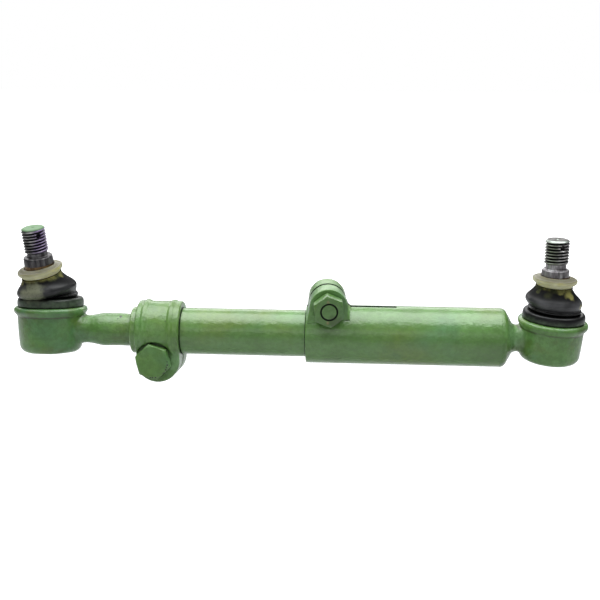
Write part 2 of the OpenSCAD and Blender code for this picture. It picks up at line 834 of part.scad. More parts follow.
outer_tube();
right_housing();
front_clamp_ear();
rear_clamp_ear();
ear_clamp_bolt();
ear_clamp_nut();
inner_tube();
tube_clamp();
tube_clamp_bolt();
tube_clamp_nut();
upper_seat(RIGHT);  // right_upper_seat
lower_seat(RIGHT);  // right_lower_seat
disc_spring(RIGHT);  // right_disc_spring
cover_plate(RIGHT);  // right_cover_plate
foot_ring(RIGHT);  // right_foot_ring
boot(RIGHT);  // right_boot
dust_ring(RIGHT);  // right_dust_ring
ball_stud(RIGHT);  // right_ball_stud
left_housing();
upper_seat(LEFT);  // left_upper_seat
lower_seat(LEFT);  // left_lower_seat
disc_spring(LEFT);  // left_disc_spring
cover_plate(LEFT);  // left_cover_plate
foot_ring(LEFT);  // left_foot_ring
boot(LEFT);  // left_boot
dust_ring(LEFT);  // left_dust_ring
ball_stud(LEFT);  // left_ball_stud
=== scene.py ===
# %% [markdown]
# # A tie rod, dressed for its picture
# The CAD part gives every hard shape, its place and its joints. This lesson puts the looks on it:
# thick green paint over forgings, dark oiled studs with real threads, rubber boots with folds,
# and milky nylon rings.

import json
import math

import bmesh
import bpy
import numpy as np
from mathutils import Euler, Matrix, Vector, noise

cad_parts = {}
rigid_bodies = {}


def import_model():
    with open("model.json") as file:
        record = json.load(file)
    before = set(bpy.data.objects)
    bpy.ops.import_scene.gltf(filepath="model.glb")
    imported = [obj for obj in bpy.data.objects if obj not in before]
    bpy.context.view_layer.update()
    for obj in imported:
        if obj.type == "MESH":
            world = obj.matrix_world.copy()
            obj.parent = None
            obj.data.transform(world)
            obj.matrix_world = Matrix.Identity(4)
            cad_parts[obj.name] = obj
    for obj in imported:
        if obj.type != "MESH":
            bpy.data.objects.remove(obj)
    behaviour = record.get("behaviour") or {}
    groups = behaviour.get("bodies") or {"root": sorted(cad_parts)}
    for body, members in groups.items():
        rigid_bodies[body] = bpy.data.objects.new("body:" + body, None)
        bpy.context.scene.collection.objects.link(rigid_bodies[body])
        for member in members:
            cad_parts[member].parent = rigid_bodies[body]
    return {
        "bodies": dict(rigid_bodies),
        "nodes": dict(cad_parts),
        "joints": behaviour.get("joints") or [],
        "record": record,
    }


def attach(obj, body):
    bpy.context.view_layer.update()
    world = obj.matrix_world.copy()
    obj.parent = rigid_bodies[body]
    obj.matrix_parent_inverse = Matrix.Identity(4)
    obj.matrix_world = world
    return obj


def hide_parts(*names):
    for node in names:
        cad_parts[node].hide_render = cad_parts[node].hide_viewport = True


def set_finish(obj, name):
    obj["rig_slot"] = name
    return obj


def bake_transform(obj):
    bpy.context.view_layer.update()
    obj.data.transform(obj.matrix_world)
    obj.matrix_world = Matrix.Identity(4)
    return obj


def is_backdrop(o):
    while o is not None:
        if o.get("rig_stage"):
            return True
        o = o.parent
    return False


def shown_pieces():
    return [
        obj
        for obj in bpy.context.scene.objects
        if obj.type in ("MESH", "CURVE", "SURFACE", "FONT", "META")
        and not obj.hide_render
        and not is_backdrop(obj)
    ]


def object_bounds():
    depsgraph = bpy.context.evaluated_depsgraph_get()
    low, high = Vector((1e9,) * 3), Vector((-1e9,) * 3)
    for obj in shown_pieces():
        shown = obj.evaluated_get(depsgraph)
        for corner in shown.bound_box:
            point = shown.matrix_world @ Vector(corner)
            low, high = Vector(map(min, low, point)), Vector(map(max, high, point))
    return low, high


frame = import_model()
cad_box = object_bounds()
MM = 0.001

# %% [markdown]
# ## Where the joints are
# Both ends are ball joints. A housing is tilted a little on the rod, the stud leans in the
# housing, and the dust ring sits slightly askew on the stud. One matrix for each of these frames
# keeps later steps short: a shape is made upright round the ball's centre, in millimetres, and
# then carried to its place. `Euler` turns about X, then Y, then Z, as the CAD source does.

# %% Frames of the two joints
ROD_Z = -65.8


def turned_by(x, y, z=0.0):
    return Euler([math.radians(a) for a in (x, y, z)]).to_matrix().to_4x4()


def joint_frames(x, housing_tilt, stud_lean, ring_tilt, ring_mid):
    housing = Matrix.Translation((x, 0, ROD_Z)) @ turned_by(*housing_tilt)
    stud = housing @ turned_by(*stud_lean)
    lift = Matrix.Translation((0, 0, ring_mid))
    return housing, stud, stud @ lift @ turned_by(*ring_tilt) @ lift.inverted()


JOINTS = {
    "right": dict(
        frames=joint_frames(0, (0, 3.5), (0, -3.5), (0, 3), 50), body="outer_rod",
        rim_top=17, collar_r=21.5, bead_r=25.9, waist_r=21.3, bulge_r=23.4, top_r=15.1,
        bead_h=7.6, bulge_h=16.5, ring_base=46.7, rim_r=29.3,
        ball_r=15, neck_r=8.5, neck_top=34, taper=(42.2, 60.6), taper_end_r=11.2,
        thread=(65.8, 20), pin_turn=18, ring_top=54.8, dirt_h=0.3,
    ),
    "left": dict(
        frames=joint_frames(-431.3, (-9.3, 0), (15.3, -4.6), (0, -4.5), 53.2), body="left_end",
        rim_top=19.3, collar_r=23.5, bead_r=28.2, waist_r=22.8, bulge_r=25.0, top_r=16.8,
        bead_h=8.0, bulge_h=17.0, ring_base=50.0, rim_r=31.5,
        ball_r=16.5, neck_r=9.3, neck_top=37.6, taper=(45.8, 66.6), taper_end_r=12.1,
        thread=(71, 20.9), pin_turn=42, ring_top=57.9, dirt_h=2.2,
    ),
}
for side, joint in JOINTS.items():
    print(side, "stud points to", [round(v, 3) for v in joint["frames"][1].col[2][:3]])

# %% [markdown]
# ## The camera
# A photograph of a long thin thing is mostly about perspective. The lens, place and turn below
# put the two joints, the clamp and the slot where the photograph has them, so the camera comes
# before any piece and stays put.

# %% Camera
camera = bpy.data.objects.new("camera", bpy.data.cameras.new("camera"))
bpy.context.scene.collection.objects.link(camera)
camera.data.lens = 57.44
camera.data.sensor_width = 36
camera.data.clip_start, camera.data.clip_end = 0.05, 20
ahead = Vector((-0.05905519, 0.96354776, -0.26093716)).normalized()
across = ahead.cross(Vector((0, 0, 1))).normalized()
upward = across.cross(ahead)
turn = Matrix((across, upward, -ahead)).transposed()
camera.matrix_world = (
    Matrix.Translation((-0.164876, -0.787889, 0.177162))
    @ (turn @ Matrix.Rotation(math.radians(0.197), 3, "Z")).to_4x4()
)
bpy.context.scene.camera = camera
print("camera stands", round((camera.location - Vector((-0.2, 0, -0.06))).length, 3), "m away")

# %% [markdown]
# ## Floor and light
# The photograph is a bright shot on white with hardly a shadow, yet the tubes are clearly modelled:
# a wide bright band along the top, a darker middle, and a lift from underneath. A big soft box
# overhead gives the band, one like a white wall behind draws its edge, and a weak one in front, like
# a window, puts a little gloss on boots and threads. A dim room keeps the middle dark, and the pale
# floor gives the lift. Seen by the camera itself, floor and room are white. The floor lies lower than
# the rod's underside, because the left stud points down when the left end is turned half round.

# %% Floor and light
scene = bpy.context.scene
scene.view_settings.view_transform = "Standard"
scene.view_settings.look = "None"


def soft_box(name, place, target, size, power, colour=(1, 1, 1)):
    data = bpy.data.lights.new(name, "AREA")
    data.shape = "RECTANGLE"
    data.size, data.size_y = size
    data.energy = power
    data.color = colour
    lamp = bpy.data.objects.new(name, data)
    scene.collection.objects.link(lamp)
    lamp.location = place
    lamp.rotation_euler = (Vector(target) - Vector(place)).to_track_quat("-Z", "Y").to_euler()
    return lamp


soft_box("overhead", (-0.2, 0.1, 1.15), (-0.2, 0.1, 0), (2.3, 1.3), 38, (0.97, 1.0, 1.0))
soft_box("back_wall", (-0.5, 1.7, 0.75), (-0.2, 0, 0), (2.4, 0.8), 13)
soft_box("front_window", (-0.3, -1.5, 0.62), (-0.2, 0, -0.05), (1.1, 0.5), 2.2)

world = bpy.data.worlds.new("white_room")
scene.world = world
world.use_nodes = True
room = world.node_tree
seen = room.nodes.new("ShaderNodeLightPath").outputs["Is Camera Ray"]
strength = room.nodes.new("ShaderNodeMapRange")
strength.inputs[3].default_value, strength.inputs[4].default_value = 0.13, 1.0
room.links.new(seen, strength.inputs[0])
room.links.new(strength.outputs[0], room.nodes["Background"].inputs["Strength"])
room.nodes["Background"].inputs["Color"].default_value = (1, 1, 1, 1)

FLOOR_HALF = 6
FLOOR_DROP = 0.052
floor_z = cad_box[0].z - FLOOR_DROP
corners = [(FLOOR_HALF * x, FLOOR_HALF * y, floor_z) for x, y in ((-1, -1), (1, -1), (1, 1), (-1, 1))]
floor_mesh = bpy.data.meshes.new("floor")
floor_mesh.from_pydata(corners, [], [(0, 1, 2, 3)])
floor = bpy.data.objects.new("floor", floor_mesh)
scene.collection.objects.link(floor)
floor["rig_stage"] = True
print("floor at", round(floor_z, 4))

# %% [markdown]
# ## A small kit for finishes
# Every finish is a node tree on the shader, painted in object coordinates, so it needs no picture
# and no unwrapping. `Finish` keeps the wiring readable: clouds of noise, soft thresholds, spots
# round a point, and bumps. All pieces sit at the origin, so one point means the same place on
# each of them.

# %% Finish kit
def srgb(r, g, b):
    return tuple(
        c / 12.92 if c <= 0.04045 else ((c + 0.055) / 1.055) ** 2.4
        for c in (r / 255, g / 255, b / 255)
    ) + (1.0,)


class Finish:
    """A material in the making: its tree, its shader and short names for common nodes."""

    def __init__(self, name, **sockets):
        self.material = bpy.data.materials.new(name)
        self.material.use_nodes = True
        self.tree = self.material.node_tree
        self.shader = self.tree.nodes["Principled BSDF"]
        self.place = self.node("ShaderNodeTexCoord").outputs["Object"]
        for key, value in sockets.items():
            self.shader.inputs[key.replace("_", " ")].default_value = value

    def node(self, kind, inputs=(), **settings):
        made = self.tree.nodes.new(kind)
        for key, value in settings.items():
            setattr(made, key, value)
        for key, value in dict(inputs).items():
            if isinstance(value, bpy.types.NodeSocket):
                self.tree.links.new(value, made.inputs[key])
            else:
                made.inputs[key].default_value = value
        return made

    def noise(self, scale, detail=3.0, rough=0.5, at=None):
        return self.node("ShaderNodeTexNoise", {
            "Vector": at or self.place, "Scale": scale, "Detail": detail, "Roughness": rough,
        }).outputs[0]

    def math(self, operation, a, b=0.0):
        return self.node("ShaderNodeMath", {0: a, 1: b}, operation=operation).outputs[0]

    def plus(self, a, b):
        return self.math("ADD", a, b)

    def minus(self, a, b):
        return self.math("SUBTRACT", a, b)

    def times(self, a, b):
        return self.math("MULTIPLY", a, b)

    def radius(self, x, y):
        return self.math("SQRT", self.plus(self.times(x, x), self.times(y, y)))

    def ragged(self, value, grain, amount):
        """The value, shifted up and down by noise."""
        return self.plus(value, self.times(self.minus(self.noise(grain, 2), 0.5), amount))

    def step(self, value, low, high, start=0.0, end=1.0):
        """A soft threshold: start below low, end above high. With low above high it falls instead."""
        if low > high:
            low, high, start, end = high, low, end, start
        return self.node("ShaderNodeMapRange", {0: value, 1: low, 2: high, 3: start, 4: end},
                         interpolation_type="SMOOTHSTEP").outputs[0]

    def band(self, value, low, high, soft):
        """1 between low and high, with soft edges on the inside, and 0 outside."""
        return self.times(self.step(value, low, low + soft), self.step(value, high, high - soft))

    def split(self, vector):
        return self.node("ShaderNodeSeparateXYZ", {0: vector}).outputs

    def seen_from(self, frame):
        """The place as seen in a frame given in millimetres."""
        return self.node("ShaderNodeMapping", {
            "Vector": self.place, "Location": frame.translation * MM, "Rotation": frame.to_euler(),
        }, vector_type="TEXTURE").outputs[0]

    def stretched(self, x, y, z):
        """The place with each axis scaled."""
        return self.node("ShaderNodeMapping", {"Vector": self.place, "Scale": (x, y, z)}).outputs[0]

    def either(self, a, b):
        return self.math("MAXIMUM", a, b) if a else b

    def mix(self, share, a, b):
        return self.node("ShaderNodeMix", {0: share, 6: a, 7: b}, data_type="RGBA").outputs[2]

    def ramp(self, value, *stops):
        made = self.node("ShaderNodeValToRGB", {0: value})
        band = made.color_ramp
        while len(band.elements) < len(stops):
            band.elements.new(0.5)
        for element, (position, colour) in zip(band.elements, stops):
            element.position, element.color = position, colour
        return made.outputs[0]

    def spot(self, centre, radius, ragged, grain, core=0.55):
        """1 at a point, 0 beyond a radius in metres, with an edge made ragged by noise."""
        away = self.node("ShaderNodeVectorMath", {0: self.place, 1: centre}, operation="DISTANCE").outputs[1]
        return self.step(self.ragged(away, grain, ragged * radius), core * radius, radius, 1.0, 0.0)

    def recess(self, distance, low, high):
        """1 deep in corners and gaps, 0 in the open."""
        open_sky = self.node("ShaderNodeAmbientOcclusion", {"Distance": distance}, samples=8).outputs["AO"]
        return self.step(open_sky, low, high, 1.0, 0.0)

    def bump(self, height, distance, under=None):
        inputs = {"Strength": 1.0, "Distance": distance, "Height": height}
        if under:
            inputs["Normal"] = under
        return self.node("ShaderNodeBump", inputs).outputs[0]

    def set(self, **links):
        for key, value in links.items():
            self.tree.links.new(value, self.shader.inputs[key.replace("_", " ")])
        return self.material


print("finish kit ready")

# %% [markdown]
# ## Green paint
# The whole rod is sprayed after assembly, bolts and all, in one thick coat. It is slightly cloudy, has the
# skin of orange peel, and is chipped in a few places. It also gets painted shade in corners, painted
# highlight in a few lighter patches, and a few darker patches. Those places are points on the parts, so the
# frames of the two clamp bolts come first: a spot on a bolt's face is then an angle and a radius.

# %% Places on the clamps
EAR_BOLT = (
    Matrix.Translation((-189.4, 0, ROD_Z + 28.2)) @ turned_by(0, 0, 4) @ turned_by(90, 0)
    @ Matrix.Translation((0, 0, -19.5))
)
BAND_BOLT = (
    Matrix.Translation((0, 0, ROD_Z)) @ turned_by(-8, 0) @ Matrix.Translation((-336.05, 0, -23.2))
    @ turned_by(-90, 0) @ Matrix.Translation((0, 0, -18.8))
)
EAR_GRIP, BAND_GRIP, NUT_H, HEAD_H = 39, 37.6, 13, 10


def on_band_head(angle, radius):
    """A point on the face of the band bolt's head, in metres."""
    a = math.radians(angle)
    return BAND_BOLT @ Vector((radius * math.cos(a), radius * math.sin(a), -HEAD_H)) * MM


def on_ear_nut(angle, radius):
    """A point on the face of the ear bolt's nut, in metres."""
    a = math.radians(angle)
    return EAR_BOLT @ Vector((radius * math.cos(a), radius * math.sin(a), EAR_GRIP + NUT_H)) * MM


# Places and radii where paint is chipped off, then the same for two rust stains
CHIPS = [
    ((-0.3677, -0.0049, -0.0532), 0.0016), ((-0.3698, -0.0072, -0.0544), 0.0009),
    ((-0.3258, -0.0219, -0.0509), 0.0010), ((-0.3248, -0.0232, -0.0524), 0.0008),
] + [
    (on_band_head(angle, radius), size)
    for angle, radius, size in (
        (-4, 12.9, 0.0007), (8, 13.2, 0.0009), (17, 12.8, 0.0006), (27, 13.1, 0.0008),
        (43, 13.0, 0.0006), (78, 13.1, 0.0008), (89, 13.0, 0.0006), (97, 13.3, 0.0009),
    )
]
RUST = [(on_ear_nut(-98, 9.0), 0.0022), (on_ear_nut(97, 8.6), 0.0018)]
# Places and radii of painted highlight: lighter patches on the right neck and on the clamp band
PAINTED_HIGHLIGHTS = [((-0.0340, -0.0125, -0.0600), 0.0150), ((-0.3190, -0.0220, -0.0870), 0.0120)]
# Darker patches: painted shade under the right rim's lip, and a darker patch on the ear nut's face
DARK_PATCHES = [((0.0215, -0.0200, -0.0510), 0.0100), (on_ear_nut(-60, 10.5), 0.0080)]
print(len(CHIPS), "chips and", len(RUST), "rust stains placed")

# %% [markdown]
# The recipe is a few traits laid over each other, one function for each. Ambient occlusion finds the corners
# by itself, so painted shade darkens every corner and joint of parts. Narrow gaps where the paint stops also
# get a dark line of painted shade: at the ends of the clamp and of the outer tube, in the saw cut, between
# the ears, and round the end of the bolt in its nut. Each of these is a band in one coordinate.

# %% Traits of the paint
# Where the clamp and the outer tube end on the inner tube, painted shade lines mark the gap where the paint
# stops
SHADED_PAINT_BREAKS = (-0.3146, -0.2077)
SLOT = dict(x=(-0.2084, -0.1307), half=0.0021)
EAR_GAP = dict(frame=EAR_BOLT, low=EAR_GRIP / 2 - 2.6, high=EAR_GRIP / 2 + 2.2)
EAR_THREAD = dict(frame=EAR_BOLT, r=(5.9, 7.6), low=EAR_GRIP + NUT_H - 2.5)
# The weld of the outer tube and the right end is ground flush, so its corner gets no painted shade
WELD_X = max((frame["nodes"]["outer_tube"].matrix_world @ Vector(c)).x
             for c in frame["nodes"]["outer_tube"].bound_box)


def cloudy_green(f, green, grain, blotched):
    """Greens in clouds, olive and bluish fields, lighter patches of painted highlight and darker patches, and
    a fine dark mottle.
    """
    colour = f.ramp(f.noise(26, 4, 0.6), (0.30, green(82, 122, 54)), (0.50, green(95, 141, 67)),
                    (0.72, green(107, 154, 83)))
    # Scale and roughness of the noise, where the field starts and is full, its strength, its green
    fields = [(16, 0.5, 0.48, 0.66, 0.6, (108, 132, 50)), (22, 0.5, 0.5, 0.7, 0.5, (80, 131, 90))]
    if blotched:
        fields += [(48, 0.6, 0.5, 0.66, 0.5, (92, 112, 40)), (34, 0.6, 0.52, 0.68, 0.5, (84, 134, 96))]
    for scale, rough, start, full, strength, tint in fields:
        colour = f.mix(f.step(f.noise(scale, 3, rough), start, full, 0.0, strength), colour, green(*tint))
    # Lighter patches are painted highlight; the darker ones hold painted shade under a rim and a darker patch
    # on a nut
    for places, tint in ((PAINTED_HIGHLIGHTS, (128, 172, 116)), (DARK_PATCHES, (70, 92, 44))):
        for centre, radius in places:
            colour = f.mix(f.times(f.spot(centre, radius, 0.7, 140, 0.3), 0.8), colour, green(*tint))
    mottle = f.step(f.noise(260, 4, 0.6), 0.40, 0.60, 0.24 * grain, 0.0)
    return f.mix(mottle, colour, green(64, 100, 38))


def shadow_line_under_rim(f, joint):
    """1 in a broken line on the cup, 7 to 9 mm below the top of its swollen rim."""
    x, y, height = f.split(f.seen_from(joint["frames"][0]))
    below = f.ragged(f.minus(joint["rim_top"] * MM, height), 120, 0.0012)
    line = f.times(f.step(below, 0.0066, 0.0074), f.step(below, 0.0092, 0.0078))
    line = f.times(line, f.step(f.noise(70, 3), 0.3, 0.6, 0.25, 0.75))
    return f.times(line, f.step(f.radius(x, y), (joint["rim_r"] + 2) * MM, joint["rim_r"] * MM))


def shaded_gap_lines(f, breaks=(), slot=None, gap=None, thread=None):
    """1 in dark lines of painted shade at narrow gaps where the paint stops, or None where no such place is
    named.
    """
    along, across, _ = f.split(f.place)
    dark = None
    for x in breaks:
        away = f.math("ABSOLUTE", f.minus(f.ragged(along, 60, 0.0006), x))
        dark = f.either(dark, f.step(away, 0.0007, 0.0003))
    if slot:
        near = f.step(f.math("ABSOLUTE", across), slot["half"] + 0.0003, slot["half"])
        dark = f.either(dark, f.times(f.band(along, *slot["x"], 0.0005), near))
    if gap:
        depth = f.split(f.seen_from(gap["frame"]))[2]
        dark = f.either(dark, f.band(depth, gap["low"] * MM, gap["high"] * MM, 0.3 * MM))
    if thread:
        x, y, depth = f.split(f.seen_from(thread["frame"]))
        ring = f.band(f.radius(x, y), thread["r"][0] * MM, thread["r"][1] * MM, 0.2 * MM)
        face = f.step(depth, thread["low"] * MM, (thread["low"] + 0.3) * MM)
        dark = f.either(dark, f.times(ring, face))
    return dark


print("the weld lies at x =", round(WELD_X, 4))

# %% [markdown]
# The forged ends are rougher and more blotched than the tubes, with olive painted shade in their corners and
# a painted shadow line under their rims. Ears, bolts and tubes differ only in tone, which is painted light
# and shade for a part, and in their painted shade lines at gaps, so one function makes all seven paints.

# %% Green paint
def make_green_paint(name, tone=1.0, grain=1.0, shade_tint=(60, 92, 40), corner_shade=0.4, rim=None, **shaded_gaps):
    """Tone makes a lighter or darker copy of the one paint for a part, as painted light and shade; grain
    roughens it; shaded_gaps names the gaps that get a painted shade line.
    """
    f = Finish(name, Coat_Roughness=0.24, Specular_IOR_Level=0.45)

    def green(r, g, b):
        return srgb(r * tone, g * tone, b * tone)

    colour = cloudy_green(f, green, grain, bool(rim))
    # Painted shade: an olive darkening in corners, found by ambient occlusion
    colour = f.mix(f.times(f.recess(0.008, 0.1, 0.75), corner_shade), colour, green(*shade_tint))
    # Painted shade in narrow joints, left out at the ground weld
    off_weld = f.step(f.math("ABSOLUTE", f.minus(f.split(f.place)[0], WELD_X)), 0.0018, 0.0032)
    colour = f.mix(f.times(f.recess(0.0022, 0.25, 0.8), off_weld), colour, srgb(36, 58, 26))
    if rim:
        # Painted shadow: a broken dark line under the rim
        colour = f.mix(shadow_line_under_rim(f, rim), colour, srgb(52, 62, 22))
    bare = None
    for centre, radius in CHIPS:
        bare = f.either(bare, f.spot(centre, radius, 1.1, 900))
    colour = f.mix(bare, colour, srgb(38, 36, 30))
    for centre, radius in RUST:
        colour = f.mix(f.times(f.spot(centre, radius, 1.2, 700, 0.1), 0.55), colour, srgb(148, 122, 84))
    gloss = f.step(f.noise(90, 3), 0.3, 0.7, 0.34, 0.46)
    coat = 1.0 / grain
    # Painted shade lines in narrow gaps: dark, rough and without coat
    dark = shaded_gap_lines(f, **shaded_gaps)
    if dark:
        colour = f.mix(dark, colour, srgb(18, 34, 14))
        gloss = f.math("MAXIMUM", gloss, dark)
        f.set(Coat_Weight=f.times(f.minus(1.0, dark), coat))
    else:
        f.shader.inputs["Coat Weight"].default_value = coat
    peel = f.bump(f.noise(560, 2, 0.55), 0.00022 * grain, f.bump(f.noise(110, 3), 0.00050))
    skin = f.bump(f.minus(1.0, bare), 0.0003, peel)
    return f.set(Base_Color=colour, Roughness=gloss, Normal=skin, Coat_Normal=peel)


# Tone makes lighter and darker copies of the one paint: painted light and shade on the ears, the ear bolt and
# the left end
TUBE_PAINT = {
    "outer_tube": make_green_paint("green_paint_outer_tube", slot=SLOT),
    "inner_tube": make_green_paint("green_paint_inner_tube", breaks=SHADED_PAINT_BREAKS),
}
GREEN_PAINT = make_green_paint("green_paint", grain=1.3)
CASTING_PAINT = {
    side: make_green_paint("green_paint_" + side, tone, 1.5, shade_tint=(74, 84, 34), corner_shade=corner_shade, rim=JOINTS[side])
    for side, tone, corner_shade in (("right", 1.0, 0.1), ("left", 0.97, 0.4))
}
EAR_PAINT = make_green_paint("green_paint_ear", 1.04, 1.3, gap=EAR_GAP)
EAR_BOLT_PAINT = make_green_paint("green_paint_ear_bolt", 0.93, 1.3, thread=EAR_THREAD)
print("paint has", len(GREEN_PAINT.node_tree.nodes), "nodes")

# %% [markdown]
# ## Stud steel
# The studs are turned, hardened and oiled. The thread is dark with a violet and green tinge and painted shade
# in its grooves, the small collar under it is cleaner metal with fine turning marks and streaks of painted
# reflection, and what the boot hides is black with grease. The left stud's top caught the green spray, and
# rust sits where it leaves the ring. The right stud's chamfer gets a painted highlight. A Mapping node turns
# the pattern to the stud's own axis, so the turning marks run round it.

# %% Traits of the steel
PITCH = 2.5
# Where across each stud the purple and the greenish tinge start
STUD_TINGES = {"right": (0.020, 0.0), "left": (0.002, -0.007)}
# How bright the collar's painted reflection streaks are on each stud
COLLAR_SHADE = {"right": 1.0, "left": 0.6}


def tinged_steel(f, cloud, across, side):
    """Steel in clouds of grey, purplish on one side of the stud and greenish on the other."""
    colour = f.ramp(cloud, (0.32, srgb(106, 104, 104)), (0.5, srgb(150, 148, 148)),
                    (0.7, srgb(204, 202, 202)))
    across = f.ragged(across, 90, 0.012)
    purple, green = STUD_TINGES[side]
    colour = f.mix(f.step(across, purple - 0.004, purple + 0.004, 0, 0.65), colour, srgb(112, 88, 140))
    return f.mix(f.step(across, green + 0.004, green - 0.004, 0, 0.6), colour, srgb(84, 98, 66))


# Painted reflections: streaks of three greys along the collar stand in for the room mirrored in the metal
def collar_reflection_streaks(f, side):
    shade = COLLAR_SHADE[side]
    return f.ramp(f.noise(1.0, 3, 0.6, at=f.stretched(270, 270, 60)), *(
        (position, srgb(*(shade * c for c in grey)))
        for position, grey in ((0.34, (84, 80, 84)), (0.5, (140, 136, 138)), (0.66, (202, 200, 202)))
    ))


def thread_grooves(f, part, low, top):
    """Nearly 1 in the grooves of the thread, which runs from low to top."""
    angle = f.math("DIVIDE", f.math("ARCTAN2", part[1], part[0]), 2 * math.pi)
    phase = f.math("FRACT", f.minus(f.math("DIVIDE", part[2], PITCH * MM), angle))
    groove = f.step(f.math("ABSOLUTE", f.minus(phase, 0.5)), 0.36, 0.16)
    cut = f.times(f.step(part[2], low, low + 0.001), f.step(part[2], top - 0.0012, top - 0.002))
    return f.times(groove, f.times(cut, 0.92))


def soiled(f, colour, cloud, height, joint):
    """The colour with rust and dirt just over the dust ring, and black grease below it."""
    edge = f.plus(height, f.times(f.noise(200, 2), 0.0008))
    end = (joint["ring_top"] + joint["dirt_h"]) * MM
    dirt = f.step(edge, end + 0.0006, end)
    colour = f.mix(dirt, colour, srgb(58, 42, 30))
    colour = f.mix(f.times(dirt, f.step(cloud, 0.35, 0.6)), colour, srgb(128, 104, 74))
    greased = f.step(height, joint["ring_base"] * MM, (joint["ring_base"] - 1) * MM)
    return f.mix(greased, colour, srgb(20, 19, 18))


def sprayed_tip(f, height, top):
    """1 where green spray caught the stud: its end face, the edge round it, and a few flecks below."""
    edge = f.plus(height, f.times(f.noise(500, 2), 0.0011))
    flecks = f.times(f.step(f.noise(420, 3), 0.60, 0.66), f.step(height, top - 0.009, top - 0.001))
    return f.math("MAXIMUM", f.step(edge, top - 0.0009, top - 0.0003), f.times(flecks, 0.8))


print("tinges start at", STUD_TINGES)

# %% Stud steel
def make_stud_steel(side):
    joint = JOINTS[side]
    f = Finish("stud_steel_" + side, Metallic=0.85)
    f.place = f.seen_from(joint["frames"][1])
    part = f.split(f.place)
    height = part[2]
    low, length = (v * MM for v in joint["thread"])
    top = low + length
    cloud = f.noise(160, 3, 0.6)
    colour = tinged_steel(f, cloud, part[0], side)
    colour = f.mix(f.step(height, low, low - 0.0006), colour, collar_reflection_streaks(f, side))
    # Painted shade in the grooves of the thread
    colour = f.mix(thread_grooves(f, part, low, top), colour, srgb(22, 19, 22))
    # Painted shade in corners, found by ambient occlusion
    colour = f.mix(f.recess(0.0025, 0.2, 0.8), colour, srgb(30, 27, 30))
    colour = soiled(f, colour, cloud, height, joint)
    if side == "left":
        sprayed = sprayed_tip(f, height, top)
        colour = f.mix(sprayed, colour, srgb(98, 132, 92))
        rough = f.step(sprayed, 0, 1, 0.38, 0.5)
        f.set(Metallic=f.step(sprayed, 0, 1, 0.85, 0.0))
    else:
        # A painted highlight on the chamfer, and a darker end face inside it
        colour = f.mix(f.step(height, top - 0.0018, top - 0.0012), colour, srgb(176, 184, 176))
        colour = f.mix(f.step(height, top - 0.0003, top - 0.0001), colour, srgb(70, 68, 64))
        rough = f.step(cloud, 0.3, 0.7, 0.30, 0.46)
    marks = f.bump(f.noise(1.0, 2, 0.6, at=f.stretched(60, 60, 5200)), 0.00004)
    return f.set(Base_Color=colour, Roughness=rough, Normal=marks)


STUD_STEEL = {side: make_stud_steel(side) for side in JOINTS}
print("stud finishes:", sorted(STUD_STEEL))

# %% [markdown]
# ## Boot rubber
# The boots are black rubber. The bulge gets a painted sheen, a band of lighter grey, and the cone over it is
# dull. The paint gun caught their feet, and old grease has left yellowish smears and runs below the rings.
# Their creases get painted shade.
# Each mark is a ragged spot at a place on the boot, so the two boots get their own lists of marks.

# %% Boot rubber
SPRAY = srgb(78, 92, 74)
GREASE = srgb(146, 142, 84)
MOSS = srgb(88, 92, 54)
DUSTY = srgb(126, 129, 106)
MARKS = {
    "right": [
        ((0.0106, -0.0150, -0.0214), 0.0070, GREASE, 1.0), ((0.0026, -0.0158, -0.0194), 0.0048, GREASE, 0.8),
        ((0.0128, -0.0150, -0.0240), 0.0050, GREASE, 1.0), ((0.0205, -0.0115, -0.0350), 0.0032, GREASE, 0.8),
        ((-0.0152, -0.0095, -0.0217), 0.0032, MOSS, 0.6), ((-0.0089, -0.0167, -0.0227), 0.0050, MOSS, 0.25),
    ],
    "left": [
        ((-0.4373, -0.0244, -0.0279), 0.0125, DUSTY, 0.9), ((-0.4447, -0.0219, -0.0323), 0.0090, DUSTY, 0.8),
        ((-0.4492, -0.0136, -0.0214), 0.0050, GREASE, 0.6), ((-0.4238, -0.0155, -0.0165), 0.0058, MOSS, 0.8),
        ((-0.4168, -0.0075, -0.0150), 0.0042, GREASE, 0.8), ((-0.4290, -0.0185, -0.0160), 0.0042, MOSS, 0.6),
    ],
}
# How strong the painted sheen on the bulge is, how strong the runs are, and how far up the foot the spray
# reaches
BULGE_SHEEN = {"right": 0.9, "left": 0.4}
RUNS = {"right": 0.45, "left": 0.85}
SPRAY_REACH = {"right": 0.0085, "left": 0.0125}


def runs_below_ring(f, joint, strength):
    depth = f.minus(joint["ring_base"] * MM, f.split(f.seen_from(joint["frames"][2]))[2])
    depth = f.plus(depth, f.times(f.noise(48, 2), 0.006))
    patchy = f.step(f.noise(330, 3), 0.3, 0.55, 0.4 * strength, strength)
    return f.times(f.step(depth, 0.0066, 0.0030), patchy)


def overspray(f, height, reach):
    """A ragged film that ends at reach."""
    edge = f.plus(height, f.times(f.noise(130, 3), 0.006))
    return f.times(f.step(edge, reach, reach - 0.005), f.step(f.noise(300, 3), 0.3, 0.6, 0.405, 0.855))


